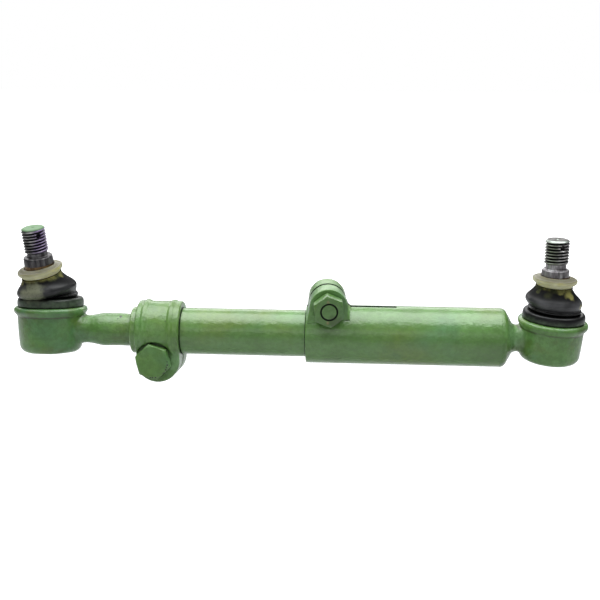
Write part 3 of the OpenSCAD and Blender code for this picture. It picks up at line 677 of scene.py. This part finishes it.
def make_rubber(side):
    joint = JOINTS[side]
    f = Finish("boot_rubber_" + side, Coat_Roughness=0.26)
    height = f.split(f.seen_from(joint["frames"][0]))[2]
    foot = joint["rim_top"] * MM
    bulge = foot + joint["bulge_h"] * MM
    cloud = f.noise(70, 4, 0.6)
    colour = f.ramp(cloud, (0.3, srgb(9, 9, 10)), (0.55, srgb(15, 15, 17)), (0.75, srgb(27, 28, 30)))
    # Painted sheen: a band of lighter grey round the bulge stands in for its highlight
    sheen_band = f.times(f.step(height, bulge - 0.006, bulge - 0.002), f.step(height, bulge + 0.005, bulge))
    sheen_band = f.times(sheen_band, f.step(f.noise(60, 3), 0.3, 0.6, 0.5, 1.0))
    colour = f.mix(f.times(sheen_band, BULGE_SHEEN[side]), colour, srgb(90, 90, 92))
    for centre, radius, tint, strength in MARKS[side]:
        smear = f.times(f.spot(centre, radius, 0.9, 190, 0.4), strength)
        smear = f.times(smear, f.step(f.noise(330, 4, 0.7), 0.30, 0.54, 0.45, 1.0))
        colour = f.mix(smear, colour, tint)
    oily = f.ramp(f.noise(110, 2), (0.42, MOSS), (0.58, GREASE))
    colour = f.mix(runs_below_ring(f, joint, RUNS[side]), colour, oily)
    colour = f.mix(overspray(f, height, foot + SPRAY_REACH[side]), colour, SPRAY)
    # Painted shade in creases and corners, found by ambient occlusion
    colour = f.mix(f.recess(0.006, 0.2, 0.75), colour, srgb(12, 12, 13))
    dull = f.step(height, bulge + 0.002, bulge + 0.006, 0.0, 0.35)
    skin = f.bump(f.noise(700, 2), 0.00008, f.bump(f.noise(90, 3), 0.0004))
    return f.set(
        Base_Color=colour, Normal=skin, Roughness=f.plus(dull, f.step(cloud, 0.3, 0.7, 0.28, 0.46)),
        Specular_IOR_Level=f.step(height, bulge + 0.001, bulge + 0.007, 0.3, 0.1),
        Coat_Weight=f.step(height, bulge + 0.001, bulge + 0.007, 0.12, 0.02),
    )


RUBBER = {side: make_rubber(side) for side in JOINTS}
print("rubber marks:", {side: len(marks) for side, marks in MARKS.items()})

# %% [markdown]
# ## Nylon and the hidden metals
# The dust rings are natural nylon: milky, waxy, slightly yellow and a little see-through at thin edges, which
# subsurface scattering gives, with a weak painted glow along the lower edge. Their top is painted darker near
# the stud as shade, and their corners get painted shade too. The seats are greased bronze and the springs
# plain spring steel, seen only in exploded views, but they get a finish too.

# %% Nylon, bronze and spring steel
def make_nylon(side):
    joint = JOINTS[side]
    f = Finish("nylon_" + side, Subsurface_Weight=0.8, Subsurface_Scale=0.007, Specular_IOR_Level=0.4)
    f.shader.inputs["Subsurface Radius"].default_value = (1.0, 0.95, 0.6)
    cloud = f.noise(90, 3)
    colour = f.ramp(cloud, (0.3, srgb(172, 171, 140)), (0.55, srgb(194, 193, 165)),
                    (0.75, srgb(208, 208, 186)))
    colour = f.mix(f.step(f.noise(60, 2), 0.48, 0.66, 0, 0.7), colour, srgb(176, 172, 112))
    height = f.split(f.seen_from(joint["frames"][2]))[2]
    low, top = joint["ring_base"] * MM, joint["ring_top"] * MM
    # Painted shade: the ring's top is darker near the stud
    colour = f.mix(f.step(height, top - 0.0036, top - 0.0014, 0.0, 0.9), colour, srgb(98, 94, 74))
    # Painted light: a weak glow along the lower edge stands in for light through the nylon
    glow = f.step(height, low + 0.0045, low + 0.0015, 0.0, 0.2)
    # Painted shade in corners, found by ambient occlusion
    colour = f.mix(f.recess(0.0025, 0.2, 0.8), colour, srgb(104, 92, 62))
    f.shader.inputs["Emission Color"].default_value = srgb(186, 186, 132)
    f.set(Emission_Strength=glow)
    return f.set(Base_Color=colour, Roughness=f.step(cloud, 0.3, 0.7, 0.34, 0.5),
                 Normal=f.bump(f.noise(200, 3), 0.0002))


def make_plain_metal(name, dark, light, grain):
    f = Finish(name, Metallic=1.0)
    cloud = f.noise(grain, 4, 0.6)
    colour = f.ramp(cloud, (0.3, srgb(*dark)), (0.7, srgb(*light)))
    rough = f.step(cloud, 0.3, 0.7, 0.3, 0.5)
    return f.set(Base_Color=colour, Roughness=rough, Normal=f.bump(cloud, 0.00005))


NYLON = {side: make_nylon(side) for side in JOINTS}
BRONZE = make_plain_metal("seat_bronze", (140, 112, 64), (184, 152, 92), 140)
SPRING_STEEL = make_plain_metal("spring_steel", (74, 76, 80), (124, 126, 130), 200)
print("made", NYLON["left"].name, BRONZE.name, SPRING_STEEL.name)

# %% [markdown]
# ## From CAD solid to forging
# A CAD edge is razor sharp, while a forging under thick paint has soft edges and a skin that is
# never quite flat. A voxel remesh of the merged CAD mesh, a few rounds of smoothing, and a very
# small push in and out by noise give that to housings, clamp, ears, bolts, nuts and dust rings. Where
# a neck grows out of a housing, extra smoothing in a narrow zone melts the corner into a fillet.
# Small pieces get small voxels. Housings get larger ones, which keeps them under 200,000 triangles.

# %% Softening helper
def new_piece(name, mesh):
    piece = bpy.data.objects.new(name, mesh)
    scene.collection.objects.link(piece)
    return piece


def baked(piece):
    """The piece's mesh with its modifiers applied, as plain data on the same object."""
    bpy.context.view_layer.update()
    done = bpy.data.meshes.new_from_object(piece.evaluated_get(bpy.context.evaluated_depsgraph_get()))
    piece.modifiers.clear()
    piece.data = done
    return piece


def smooth_shading(mesh, angle=None):
    mesh.polygons.foreach_set("use_smooth", [True] * len(mesh.polygons))
    if angle:
        mesh.set_sharp_from_angle(angle=math.radians(angle))


def lumpy(mesh, amount, size):
    """Moves each vertex along its normal by smooth noise, up to amount, in bumps of that size."""
    normals = [v.normal.copy() for v in mesh.vertices]
    for vertex, normal in zip(mesh.vertices, normals):
        vertex.co += normal * amount * noise.noise(vertex.co / size)


HOUSING_VOXEL, BAND_VOXEL, EAR_VOXEL = 0.6 * MM, 0.5 * MM, 0.4 * MM
BOLT_VOXEL, RING_VOXEL, NUT_VOXEL = 0.35 * MM, 0.35 * MM, 0.3 * MM
FILLET_ROUNDS = 120


def soft_copy(node, name, material, voxel, rounds, lumps=None, melt=None):
    """A remeshed copy of a CAD node with soft edges. lumps are the height and size of its unevenness,
    and melt gives the share of extra smoothing at a point."""
    mesh = frame["nodes"][node].data.copy()
    bm = bmesh.new()
    bm.from_mesh(mesh)
    bmesh.ops.remove_doubles(bm, verts=bm.verts, dist=2e-6)
    bm.to_mesh(mesh)
    bm.free()
    piece = new_piece(name, mesh)
    grid = piece.modifiers.new("voxels", "REMESH")
    grid.mode, grid.voxel_size, grid.use_smooth_shade = "VOXEL", voxel, True
    soft = piece.modifiers.new("soft", "SMOOTH")
    soft.factor, soft.iterations = 0.5, rounds
    baked(piece)
    if melt:
        group = piece.vertex_groups.new(name="melt")
        for vertex in piece.data.vertices:
            share = melt(vertex.co / MM)
            if share > 0.02:
                group.add([vertex.index], share, "REPLACE")
        fillet = piece.modifiers.new("fillet", "SMOOTH")
        fillet.factor, fillet.iterations, fillet.vertex_group = 0.5, FILLET_ROUNDS, "melt"
        baked(piece)
        piece.vertex_groups.clear()
    if lumps:
        lumpy(piece.data, *lumps)
    piece.data.materials.clear()
    piece.data.materials.append(material)
    smooth_shading(piece.data)
    return piece


def stands_for(piece, node, body):
    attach(piece, body)
    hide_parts(node)
    return piece


def softened(node, body, name, material, voxel, rounds, lumps, melt=None):
    return stands_for(soft_copy(node, name, material, voxel, rounds, lumps, melt), node, body)


def ease(t):
    """0 up to 0, 1 from 1 on, smooth between."""
    t = min(1.0, max(0.0, t))
    return t * t * (3 - 2 * t)


def hump(value, middle, half):
    """1 at middle, 0 beyond half on each side, smooth between."""
    return 1 - ease(abs(value - middle) / half)


print("softening helper ready")

# %% [markdown]
# ## Housings
# Each housing is a deep forged cup with a swollen rim and a neck that runs into the rod. The
# junction of neck and cup is the melt zone. It is found by two distances: from the cup's own axis,
# near the cup's wall, and from the rod's axis, near the neck's radius. The right housing is welded
# to its tube and ground flush, so the corner that the softening rounds off there is drawn out again.

# %% Housings
def neck_melt(side, neck_r):
    into_cup = JOINTS[side]["frames"][0].inverted()
    toward = -1 if side == "right" else 1
    wall_r = JOINTS[side]["rim_r"] - 3

    def share(p):
        q = into_cup @ p
        if q.x * toward < 0 or q.z > JOINTS[side]["rim_top"] - 6:
            return 0.0
        from_cup = math.hypot(q.x, q.y)
        from_rod = math.hypot(p.y, p.z - ROD_Z)
        if from_cup < wall_r - 3.2:
            return 0.0
        return hump(from_cup, wall_r + 1.5, 7) * hump(from_rod, neck_r + 1, 8)

    return share


def flush_with_tube(mesh, tube_r=25.1, reach=2.0):
    """Draws the rounded corner at the weld out to the tube's radius, fading over reach."""
    normals = [v.normal.copy() for v in mesh.vertices]
    for vertex, normal in zip(mesh.vertices, normals):
        x, y, z = vertex.co / MM - Vector((WELD_X / MM, 0, ROD_Z))
        r = math.hypot(y, z)
        if x < reach and r > tube_r - 2 and normal.y * y + normal.z * z > 0.25 * r:
            wide = 1 + (tube_r / r - 1) * (1 - ease(x / reach))
            near = min(1.0, max(0.0, x))
            x = near ** 2 + max(0.0, x - 1)
            vertex.co = Vector((x + WELD_X / MM, y * wide, z * wide + ROD_Z)) * MM
    mesh.update()
    smooth_shading(mesh, 50)


right_housing = softened("right_housing", "outer_rod", "right_housing_forged", CASTING_PAINT["right"],
                         HOUSING_VOXEL, 5, (0.00025, 0.011), neck_melt("right", 11.8))
left_housing = softened("left_housing", "left_end", "left_housing_forged", CASTING_PAINT["left"],
                        HOUSING_VOXEL, 5, (0.00035, 0.012), neck_melt("left", 13.3))
flush_with_tube(right_housing.data)
for piece in (right_housing, left_housing):
    print(piece.name, len(piece.data.polygons), "faces")

# %% [markdown]
# ## Clamps
# The outer tube is pinched by two ears welded beside its saw cut, the inner one by a split band
# with two hanging lugs. Both are rough parts with rounded edges, and paint bridges their corners.

# %% Ears, band and nuts
for node, body, name, paint, voxel, rounds, lumps in (
    ("front_clamp_ear", "outer_rod", "front_ear_forged", EAR_PAINT, EAR_VOXEL, 7, (0.0002, 0.008)),
    ("rear_clamp_ear", "outer_rod", "rear_ear_forged", EAR_PAINT, EAR_VOXEL, 7, (0.0002, 0.008)),
    ("ear_clamp_nut", "outer_rod", "ear_nut_painted", EAR_BOLT_PAINT, NUT_VOXEL, 6, (0.0001, 0.005)),
    ("tube_clamp_nut", "inner_rod", "band_nut_painted", GREEN_PAINT, NUT_VOXEL, 6, (0.0001, 0.005)),
    ("tube_clamp", "inner_rod", "band_clamp_cast", GREEN_PAINT, BAND_VOXEL, 6, (0.00022, 0.010)),
):
    piece = softened(node, body, name, paint, voxel, rounds, lumps)
    print(piece.name, len(piece.data.polygons), "faces")

# %% [markdown]
# ## Threads by Geometry Nodes
# A thread is a rule, not a shape: turn once, rise by one pitch. So one node tree cuts all of them.
# It reads each point's angle and height about an axis, finds how far it is through its turn of the
# helix, and pulls it in by the depth of the thread there. Fine rows on the blank give it something
# to cut. The tree works on upright blanks in millimetres, and each piece is stood in place later.

# %% Thread tree
# Half the width of the groove's bottom, as a share of half a pitch, and the slope of its flanks
GROOVE_BOTTOM, FLANK_SLOPE = 0.12, 1.3


def thread_tree():
    tree = bpy.data.node_groups.new("cut_thread", "GeometryNodeTree")
    face = tree.interface
    face.new_socket("Geometry", in_out="OUTPUT", socket_type="NodeSocketGeometry")
    face.new_socket("Geometry", in_out="INPUT", socket_type="NodeSocketGeometry")
    sockets = {}
    for name, kind in (("Pitch", "Float"), ("Depth", "Float"), ("Low End", "Float"), ("High End", "Float"),
                       ("Run Out", "Float"), ("Smallest Radius", "Float"), ("Finish", "Material")):
        sockets[name] = face.new_socket(name, in_out="INPUT", socket_type="NodeSocket" + kind).identifier
    start = tree.nodes.new("NodeGroupInput")
    out = tree.nodes.new("NodeGroupOutput")

    def node(kind, inputs=(), **settings):
        made = tree.nodes.new(kind)
        for key, value in settings.items():
            setattr(made, key, value)
        for key, value in dict(inputs).items():
            if isinstance(value, bpy.types.NodeSocket):
                tree.links.new(value, made.inputs[key])
            else:
                made.inputs[key].default_value = value
        return made

    def calc(operation, a, b=0.0, clamp=False):
        return node("ShaderNodeMath", {0: a, 1: b}, operation=operation, use_clamp=clamp).outputs[0]

    part = node("ShaderNodeSeparateXYZ", {0: node("GeometryNodeInputPosition").outputs[0]}).outputs
    angle = calc("DIVIDE", calc("ARCTAN2", part[1], part[0]), 2 * math.pi)
    phase = calc("FRACT", calc("SUBTRACT", calc("DIVIDE", part[2], start.outputs["Pitch"]), angle))
    flank = calc("MULTIPLY", calc("ABSOLUTE", calc("SUBTRACT", phase, 0.5)), 2.0)
    wall = calc("MULTIPLY", calc("SUBTRACT", flank, GROOVE_BOTTOM), FLANK_SLOPE, True)
    groove = calc("SUBTRACT", 1.0, wall, True)
    run_out = start.outputs["Run Out"]
    below = calc("DIVIDE", calc("SUBTRACT", part[2], start.outputs["Low End"]), run_out, True)
    above = calc("DIVIDE", calc("SUBTRACT", start.outputs["High End"], part[2]), run_out, True)
    x_part, y_part = (calc("MULTIPLY", part[axis], part[axis]) for axis in (0, 1))
    radius = calc("SQRT", calc("ADD", x_part, y_part))
    outside = calc("GREATER_THAN", radius, start.outputs["Smallest Radius"])
    share = calc("MULTIPLY", calc("MULTIPLY", groove, outside), calc("MULTIPLY", below, above))
    pull = calc("DIVIDE", calc("MULTIPLY", share, start.outputs["Depth"]), calc("MAXIMUM", radius, 0.001))
    across_axis = node("ShaderNodeCombineXYZ", {0: part[0], 1: part[1]}).outputs[0]
    shift = node("ShaderNodeVectorMath", {0: across_axis, "Scale": calc("MULTIPLY", pull, -1.0)},
                 operation="SCALE").outputs[0]
    cut = node("GeometryNodeSetPosition", {"Geometry": start.outputs["Geometry"], "Offset": shift}).outputs[0]
    whole = node("GeometryNodeRealizeInstances", {0: cut}).outputs[0]
    painted = node("GeometryNodeSetMaterial", {"Geometry": whole, "Material": start.outputs["Finish"]})
    tree.links.new(painted.outputs[0], out.inputs[0])
    return tree, sockets


THREAD_TREE, THREAD_SOCKETS = thread_tree()
print("thread tree inputs:", ", ".join(THREAD_SOCKETS))

# %% [markdown]
# A blank is turned from a profile of radius and height. Long steps are cut short where the thread
# will be, so that each turn of the helix has about ten rows.

# %% Turned blanks
def fine_profile(profile, longest):
    """The profile with every step shorter than longest(height)."""
    points = [profile[0]]
    for r, z in profile[1:]:
        r0, z0 = points[-1]
        parts = max(1, math.ceil(math.hypot(r - r0, z - z0) / longest((z + z0) / 2)))
        points += [(r0 + (r - r0) * k / parts, z0 + (z - z0) * k / parts) for k in range(1, parts + 1)]
    return points


def turned_mesh(name, points, sides):
    """A closed mesh of revolution about Z from (radius, height) points that start and end on the axis."""
    inner = points[1:-1]
    vertices = [(0, 0, points[0][1])]
    for r, z in inner:
        vertices += [(r * math.cos(a), r * math.sin(a), z)
                     for a in (2 * math.pi * k / sides for k in range(sides))]
    vertices.append((0, 0, points[-1][1]))
    last = len(vertices) - 1
    faces = []
    for k in range(sides):
        n = (k + 1) % sides
        faces.append((0, 1 + n, 1 + k))
        for row in range(len(inner) - 1):
            low, high = 1 + row * sides, 1 + (row + 1) * sides
            faces.append((low + k, low + n, high + n, high + k))
        top = 1 + (len(inner) - 1) * sides
        faces.append((top + k, top + n, last))
    mesh = bpy.data.meshes.new(name)
    mesh.from_pydata(vertices, [], faces)
    return mesh


def cut_thread(piece, material, pitch, depth, low, high, smallest_r):
    tool = piece.modifiers.new("thread", "NODES")
    tool.node_group = THREAD_TREE
    values = {"Pitch": pitch, "Depth": depth, "Low End": low, "High End": high,
              "Run Out": 0.8 * pitch, "Smallest Radius": smallest_r, "Finish": material}
    for name, value in values.items():
        tool[THREAD_SOCKETS[name]] = value
    return baked(piece)


def round_edge(r, z, size, steps=3):
    """Points of a rounded outer edge whose corner would be at (r, z), going up and in."""
    return [(r - size + size * math.cos(a), z - size + size * math.sin(a))
            for a in (math.pi / 2 * k / steps for k in range(steps + 1))]


def stand(piece, matrix):
    """Carries an upright piece made in millimetres to its place, in its mesh."""
    piece.data.transform(Matrix.Scale(MM, 4) @ matrix)
    piece.data.update()
    return piece


print("turning helpers ready")

# %% [markdown]
# ## Ball studs
# One turned bar from ball to tip: ball, neck, 1:10 taper, undercut and thread, with a drilled hole
# for the split pin and a small centre in its end. The blank is turned, the thread is cut by the
# tree, and a boolean drills the hole, which has a broken edge on both sides.

# %% Profiles of stud and drill
THREAD_DEPTH = 1.45
THREAD_R = 10
UNDERCUT_R = 8.4
STUD_SIDES = 112
# How far the split pin's hole lies below the stud's end, and the radii of hole and broken edge
PIN_DROP = 6
PIN_R, PIN_EDGE_R = 2, 3.2


def stud_profile(j):
    taper_low, taper_high = j["taper"]
    low_r = j["taper_end_r"] + (taper_high - taper_low) / 20
    start, length = j["thread"]
    top = start + length
    ball_end = math.degrees(math.acos(j["neck_r"] / j["ball_r"]))
    ball = [(j["ball_r"] * math.cos(math.radians(a)), j["ball_r"] * math.sin(math.radians(a)))
            for a in np.linspace(-90, ball_end, 40)]
    collar = round_edge(j["taper_end_r"], taper_high, 0.9)
    neck = [(j["neck_r"], j["neck_top"] - 1), (j["neck_r"] + 0.3, j["neck_top"] + 0.6),
            (low_r - 0.4, taper_low - 0.6), (low_r, taper_low + 0.4)]
    undercut = [(UNDERCUT_R + 0.7, taper_high + 0.1), (UNDERCUT_R, taper_high + 0.8),
                (UNDERCUT_R, start - 1.0), (UNDERCUT_R + 0.2, start - 0.6)]
    tip = [(THREAD_R, start + 0.4), (THREAD_R, top - 1.6), (THREAD_R - 0.3, top - 1.0),
           (THREAD_R - 1.1, top - 0.3), (THREAD_R - 1.8, top)]
    centre_hole = [(1.7, top), (1.3, top - 0.3), (0, top - 1.2)]
    return [(0, -j["ball_r"])] + ball[1:] + neck + collar + undercut + tip + centre_hole


DRILL_PROFILE = [(0, -14), (PIN_EDGE_R, -14), (PIN_EDGE_R, -10.2), (PIN_R, -9.0),
                 (PIN_R, 9.0), (PIN_EDGE_R, 10.2), (PIN_EDGE_R, 14), (0, 14)]
for side, joint in JOINTS.items():
    print(side, "stud profile:", len(stud_profile(joint)), "points")

# %% Ball studs
def make_stud(side):
    j = JOINTS[side]
    start, length = j["thread"]
    blank = fine_profile(stud_profile(j), lambda z: 0.2 if z > start - 1 else 1.2)
    piece = new_piece(side + "_stud_threaded", turned_mesh(side + "_stud", blank, STUD_SIDES))
    cut_thread(piece, STUD_STEEL[side], PITCH, THREAD_DEPTH, start - 0.4, start + length - 0.6,
               UNDERCUT_R + 0.1)
    drill = new_piece("drill", turned_mesh("drill", DRILL_PROFILE, 40))
    across_stud = Matrix.Rotation(math.radians(j["pin_turn"]), 4, "Z") @ turned_by(90, 0)
    drill.data.transform(Matrix.Translation((0, 0, start + length - PIN_DROP)) @ across_stud)
    hole = piece.modifiers.new("hole", "BOOLEAN")
    hole.operation, hole.solver, hole.object = "DIFFERENCE", "EXACT", drill
    baked(piece)
    bpy.data.objects.remove(drill)
    stand(piece, j["frames"][1])
    smooth_shading(piece.data, 62)
    stands_for(piece, side + "_ball_stud", side + "_stud_body")
    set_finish(piece, "stud_steel")
    return piece


for side in JOINTS:
    stud = make_stud(side)
    print(stud.name, len(stud.data.polygons), "faces")

# %% [markdown]
# ## Clamp bolts
# The bolts keep the CAD's exact place, so they start from a softened copy of the CAD solid: heads
# with paint-rounded edges. Only the end that stands out of the nut is threaded, and paint half
# fills its grooves, so the same tree cuts it shallower.

# %% Clamp bolts
BOLT_PITCH = 2.0
BOLT_R = 8.0
BOLT_THREAD_DEPTH = 0.55


def painted_bolt(node, body, name, paint, axis_frame, grip):
    """axis_frame stands the bolt on +Z with the head's underside at zero, in millimetres."""
    piece = soft_copy(node, name, paint, BOLT_VOXEL, 5)
    piece.data.transform(axis_frame.inverted() @ Matrix.Scale(1 / MM, 4))
    cut_thread(piece, paint, BOLT_PITCH, BOLT_THREAD_DEPTH, grip + 10, grip + 13, BOLT_R - 1.0)
    stand(piece, axis_frame)
    smooth_shading(piece.data)
    return stands_for(piece, node, body)


for args in (("ear_clamp_bolt", "outer_rod", "ear_bolt_painted", EAR_BOLT_PAINT, EAR_BOLT, EAR_GRIP),
             ("tube_clamp_bolt", "inner_rod", "band_bolt_painted", GREEN_PAINT, BAND_BOLT, BAND_GRIP)):
    bolt = painted_bolt(*args)
    print(bolt.name, len(bolt.data.polygons), "faces")

# %% [markdown]
# ## Boots
# A boot is one rubber sleeve, but it bends over two joints at once: its foot is clamped to the housing, and
# its top goes with the ring. So it is made as one loft and parted in three: a foot bead that stays with the
# housing, a fold and a cone. The lower end of the fold runs on inside the bead, and the cone starts on the
# very bulge where the fold ends.

# %% Boot sections
SIDES = 96
WALL = 2.0


def through(stations, steps):
    """A smooth curve through the stations (height, radius), by Catmull-Rom, with steps between each two."""
    points = [np.array(s, float) for s in stations]
    points = [2 * points[0] - points[1]] + points + [2 * points[-1] - points[-2]]
    curve = []
    for k in range(1, len(points) - 2):
        a, b, c, d = points[k - 1:k + 3]
        for i in range(steps):
            t = i / steps
            curve.append(0.5 * (2 * b + (c - a) * t + (2 * a - 5 * b + 4 * c - d) * t * t
                                + (3 * b - a - 3 * c + d) * t ** 3))
    return curve + [points[-2]]


def boot_carry(j, lead_slant=3.0, lead_shift=1.5):
    """A function that puts a point of the upright boot where the leaning ring takes it."""
    housing, _, ring = j["frames"]
    lean = housing.inverted() @ ring
    foot, top = j["rim_top"] + j["bead_h"], j["ring_base"]

    def carry(z, r, angle):
        axis = Vector((0, 0, z))
        spoke = Vector((r * math.cos(angle), r * math.sin(angle), 0))
        rise = (z - foot) / (top - foot)
        middle = axis.lerp(lean @ axis, ease(lead_shift * rise))
        return middle + spoke.lerp(lean.to_3x3() @ spoke, ease(lead_slant * rise))

    return carry


def boot_stations(j):
    """The outside of each part of the boot, upwards, as a list of (height, radius)."""
    rim, bead, waist, bulge, top = (j[key] for key in ("rim_top", "bead_r", "waist_r", "bulge_r", "top_r"))
    bead_h, bulge_h, end = j["bead_h"], j["bulge_h"], j["ring_base"] - 0.15
    foot = [(0.15, bead - 2.6), (0.2, bead - 0.9), (1.2, bead - 0.15), (2.6, bead + 0.05),
            (0.66 * bead_h, bead - 0.1), (0.84 * bead_h, bead - 0.55), (0.95 * bead_h, bead - 1.3),
            (bead_h, bead - 2.3), (bead_h - 0.2, waist + 0.3), (bead_h - 1.2, waist - 0.7)]
    fold = [(bead_h - 2.6, waist - 1.6), (bead_h - 0.6, waist - 0.9), (bead_h + 0.7, waist - 0.5),
            (bead_h + 1.6, waist + 0.55), (bead_h + 2.5, waist + 0.7), (bead_h + 3.3, waist - 0.25),
            (bead_h + 4.2, waist - 0.3), (bead_h + 5.4, waist + 0.7), (bulge_h - 1.4, bulge - 0.35),
            (bulge_h, bulge)]
    climb = end - rim - bulge_h
    cone = [(bulge_h + share * climb, r) for share, r in (
        (0, bulge), (0.12, bulge - 0.35), (0.28, bulge - 1.7), (0.5, top + 0.45 * (bulge - top)),
        (0.72, top + 0.17 * (bulge - top)), (0.88, top + 0.15), (0.96, top + 0.25), (1, top - 0.35),
    )]
    parts = {"foot": foot, "fold": fold, "cone": cone}
    return {name: [(rim + h, r) for h, r in part] for name, part in parts.items()}


for side, joint in JOINTS.items():
    print(side, {name: len(part) for name, part in boot_stations(joint).items()})

# %% [markdown]
# The rubber is not perfectly round: it puckers a little between the folds, and more on the left
# boot, which is squeezed by the lean. A few broad waves in the radius, strongest at the bulge,
# give that. The inside of each part is the outside, one wall further in.

# %% Boot parts
PUCKER = {"right": 0.18, "left": 0.75}


def boot_rows(side, part):
    """Rows of points for one part of a boot: outside upwards, then inside downwards."""
    j = JOINTS[side]
    carry = boot_carry(j)
    outside = [tuple(point) for point in through(boot_stations(j)[part], 5)]
    if part == "foot":
        # The bead's inside goes round the collar, with room for the foot ring
        (low_z, _), (high_z, _), collar_r = outside[0], outside[-1], j["collar_r"]
        inside = [(high_z - 0.6, collar_r - 0.8), (low_z + 4, collar_r + 2.15), (low_z, collar_r + 2.15)]
    else:
        inside = [(z, max(r - WALL, j["neck_r"] + 4)) for z, r in reversed(outside[::2])]
    rows = []
    for z, r in outside + inside:
        swell = hump(z, j["rim_top"] + j["bulge_h"] + 1, 8) * PUCKER[side]
        row = []
        for k in range(SIDES):
            a = 2 * math.pi * k / SIDES
            wave = swell * (0.6 * math.sin(3 * a + 0.7 + 0.05 * z) + 0.4 * math.sin(5 * a + 2.1))
            row.append(carry(z, r + wave, a))
        rows.append(row)
    return rows


def make_boot_part(side, part):
    rows = boot_rows(side, part)
    count = len(rows)
    faces = [
        (i * SIDES + k, i * SIDES + (k + 1) % SIDES,
         (i + 1) % count * SIDES + (k + 1) % SIDES, (i + 1) % count * SIDES + k)
        for i in range(count) for k in range(SIDES)
    ]
    mesh = bpy.data.meshes.new(side + "_boot_" + part)
    mesh.from_pydata([point for row in rows for point in row], [], faces)
    piece = stand(new_piece(mesh.name, mesh), JOINTS[side]["frames"][0])
    smooth_shading(piece.data, 50)
    piece.data.materials.append(RUBBER[side])
    return piece


BOOT_PARTS = {side: [make_boot_part(side, part) for part in ("foot", "fold", "cone")] for side in JOINTS}
for side, parts in BOOT_PARTS.items():
    print(side, "boot:", [len(part.data.polygons) for part in parts])

# %% [markdown]
# The foot rides on its housing. The fold and the cone have their place baked into their meshes and ride on no
# body. The cone's length along the ring's axis, less its held end, is printed.

# %% Boot parts in their places
# Length of the fold, the step past the seam, and the end of the cone that is held
FOLD_LENGTH, SEAM_STEP, HELD_END = 0.0085, 0.0003, 0.0048
for side, joint in JOINTS.items():
    foot, fold, cone = BOOT_PARTS[side]
    housing, _, ring = joint["frames"]
    carry = boot_carry(joint)
    up = (ring.to_3x3() @ Vector((0, 0, 1))).normalized()
    seam = housing @ carry(joint["rim_top"] + joint["bulge_h"], 0, 0) * MM
    top = housing @ carry(joint["ring_base"], 0, 0) * MM
    climb = up * ((top - seam).dot(up) - HELD_END)
    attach(foot, joint["body"])
    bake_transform(fold)
    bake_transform(cone)
    for piece in (foot, fold, cone):
        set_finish(piece, "boot_rubber")
        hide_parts(side + "_boot")
    print(side, "cone bends over", round(climb.length / MM, 1), "mm")

# %% [markdown]
# ## Dust rings
# A moulded nylon ring sits on each boot, its top rising to the stud. The CAD ring has the right
# form, and softening rounds its edges as a mould would.

# %% Dust rings
for side in JOINTS:
    ring = softened(side + "_dust_ring", side + "_ring_body", side + "_ring_moulded", NYLON[side],
                    RING_VOXEL, 5, (0.00008, 0.01))
    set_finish(ring, "nylon")
    print(ring.name, len(ring.data.polygons), "faces")

# %% [markdown]
# ## Finishes for what stays CAD
# The tubes, covers, seats, springs and foot rings keep their CAD shape and only get a finish. All
# green pieces share one slot, which is how a later user finds and recolours them together.

# %% Carried-over nodes
KEPT_FINISHES = dict(TUBE_PAINT)
for side in JOINTS:
    for part, finish in (("cover_plate", GREEN_PAINT), ("upper_seat", BRONZE), ("lower_seat", BRONZE),
                         ("disc_spring", SPRING_STEEL), ("foot_ring", SPRING_STEEL)):
        KEPT_FINISHES[side + "_" + part] = finish
for name, finish in KEPT_FINISHES.items():
    materials = frame["nodes"][name].data.materials
    materials.clear()
    materials.append(finish)
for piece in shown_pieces():
    finish = piece.data.materials[0] if piece.data.materials else None
    if "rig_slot" not in piece and finish and finish.name.startswith("green_paint"):
        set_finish(piece, "green_paint")

# %% [markdown]
# ## Finish of the floor
# The floor has two jobs. To the rod it is a grey table that lifts the undersides a little. To the
# camera it glows, more so away from the rod, until it is as white as the photograph's ground.

# %% Floor finish
f = Finish("floor", Roughness=0.9, Specular_IOR_Level=0.1)
f.shader.inputs["Emission Color"].default_value = (1, 1, 1, 1)
camera_sees = f.node("ShaderNodeLightPath").outputs["Is Camera Ray"]
away = f.node("ShaderNodeVectorMath", {0: f.place, 1: (-0.2, 0, floor_z)}, operation="DISTANCE")
glow = f.times(camera_sees, f.step(away.outputs[1], 0.38, 0.75, 0.62, 1.1))
grey = f.ramp(f.noise(3, 2), (0.4, (0.47, 0.47, 0.48, 1)), (0.6, (0.50, 0.50, 0.51, 1)))
floor.data.materials.append(f.set(Base_Color=grey, Emission_Strength=glow))
print("floor finish:", floor.data.materials[0].name)

# %% [markdown]
# ## Size
# The dressed model keeps the CAD part's size. The CAD part's box is printed here.

# %% Size
print("CAD box", [tuple(round(c, 4) for c in v) for v in cad_box])
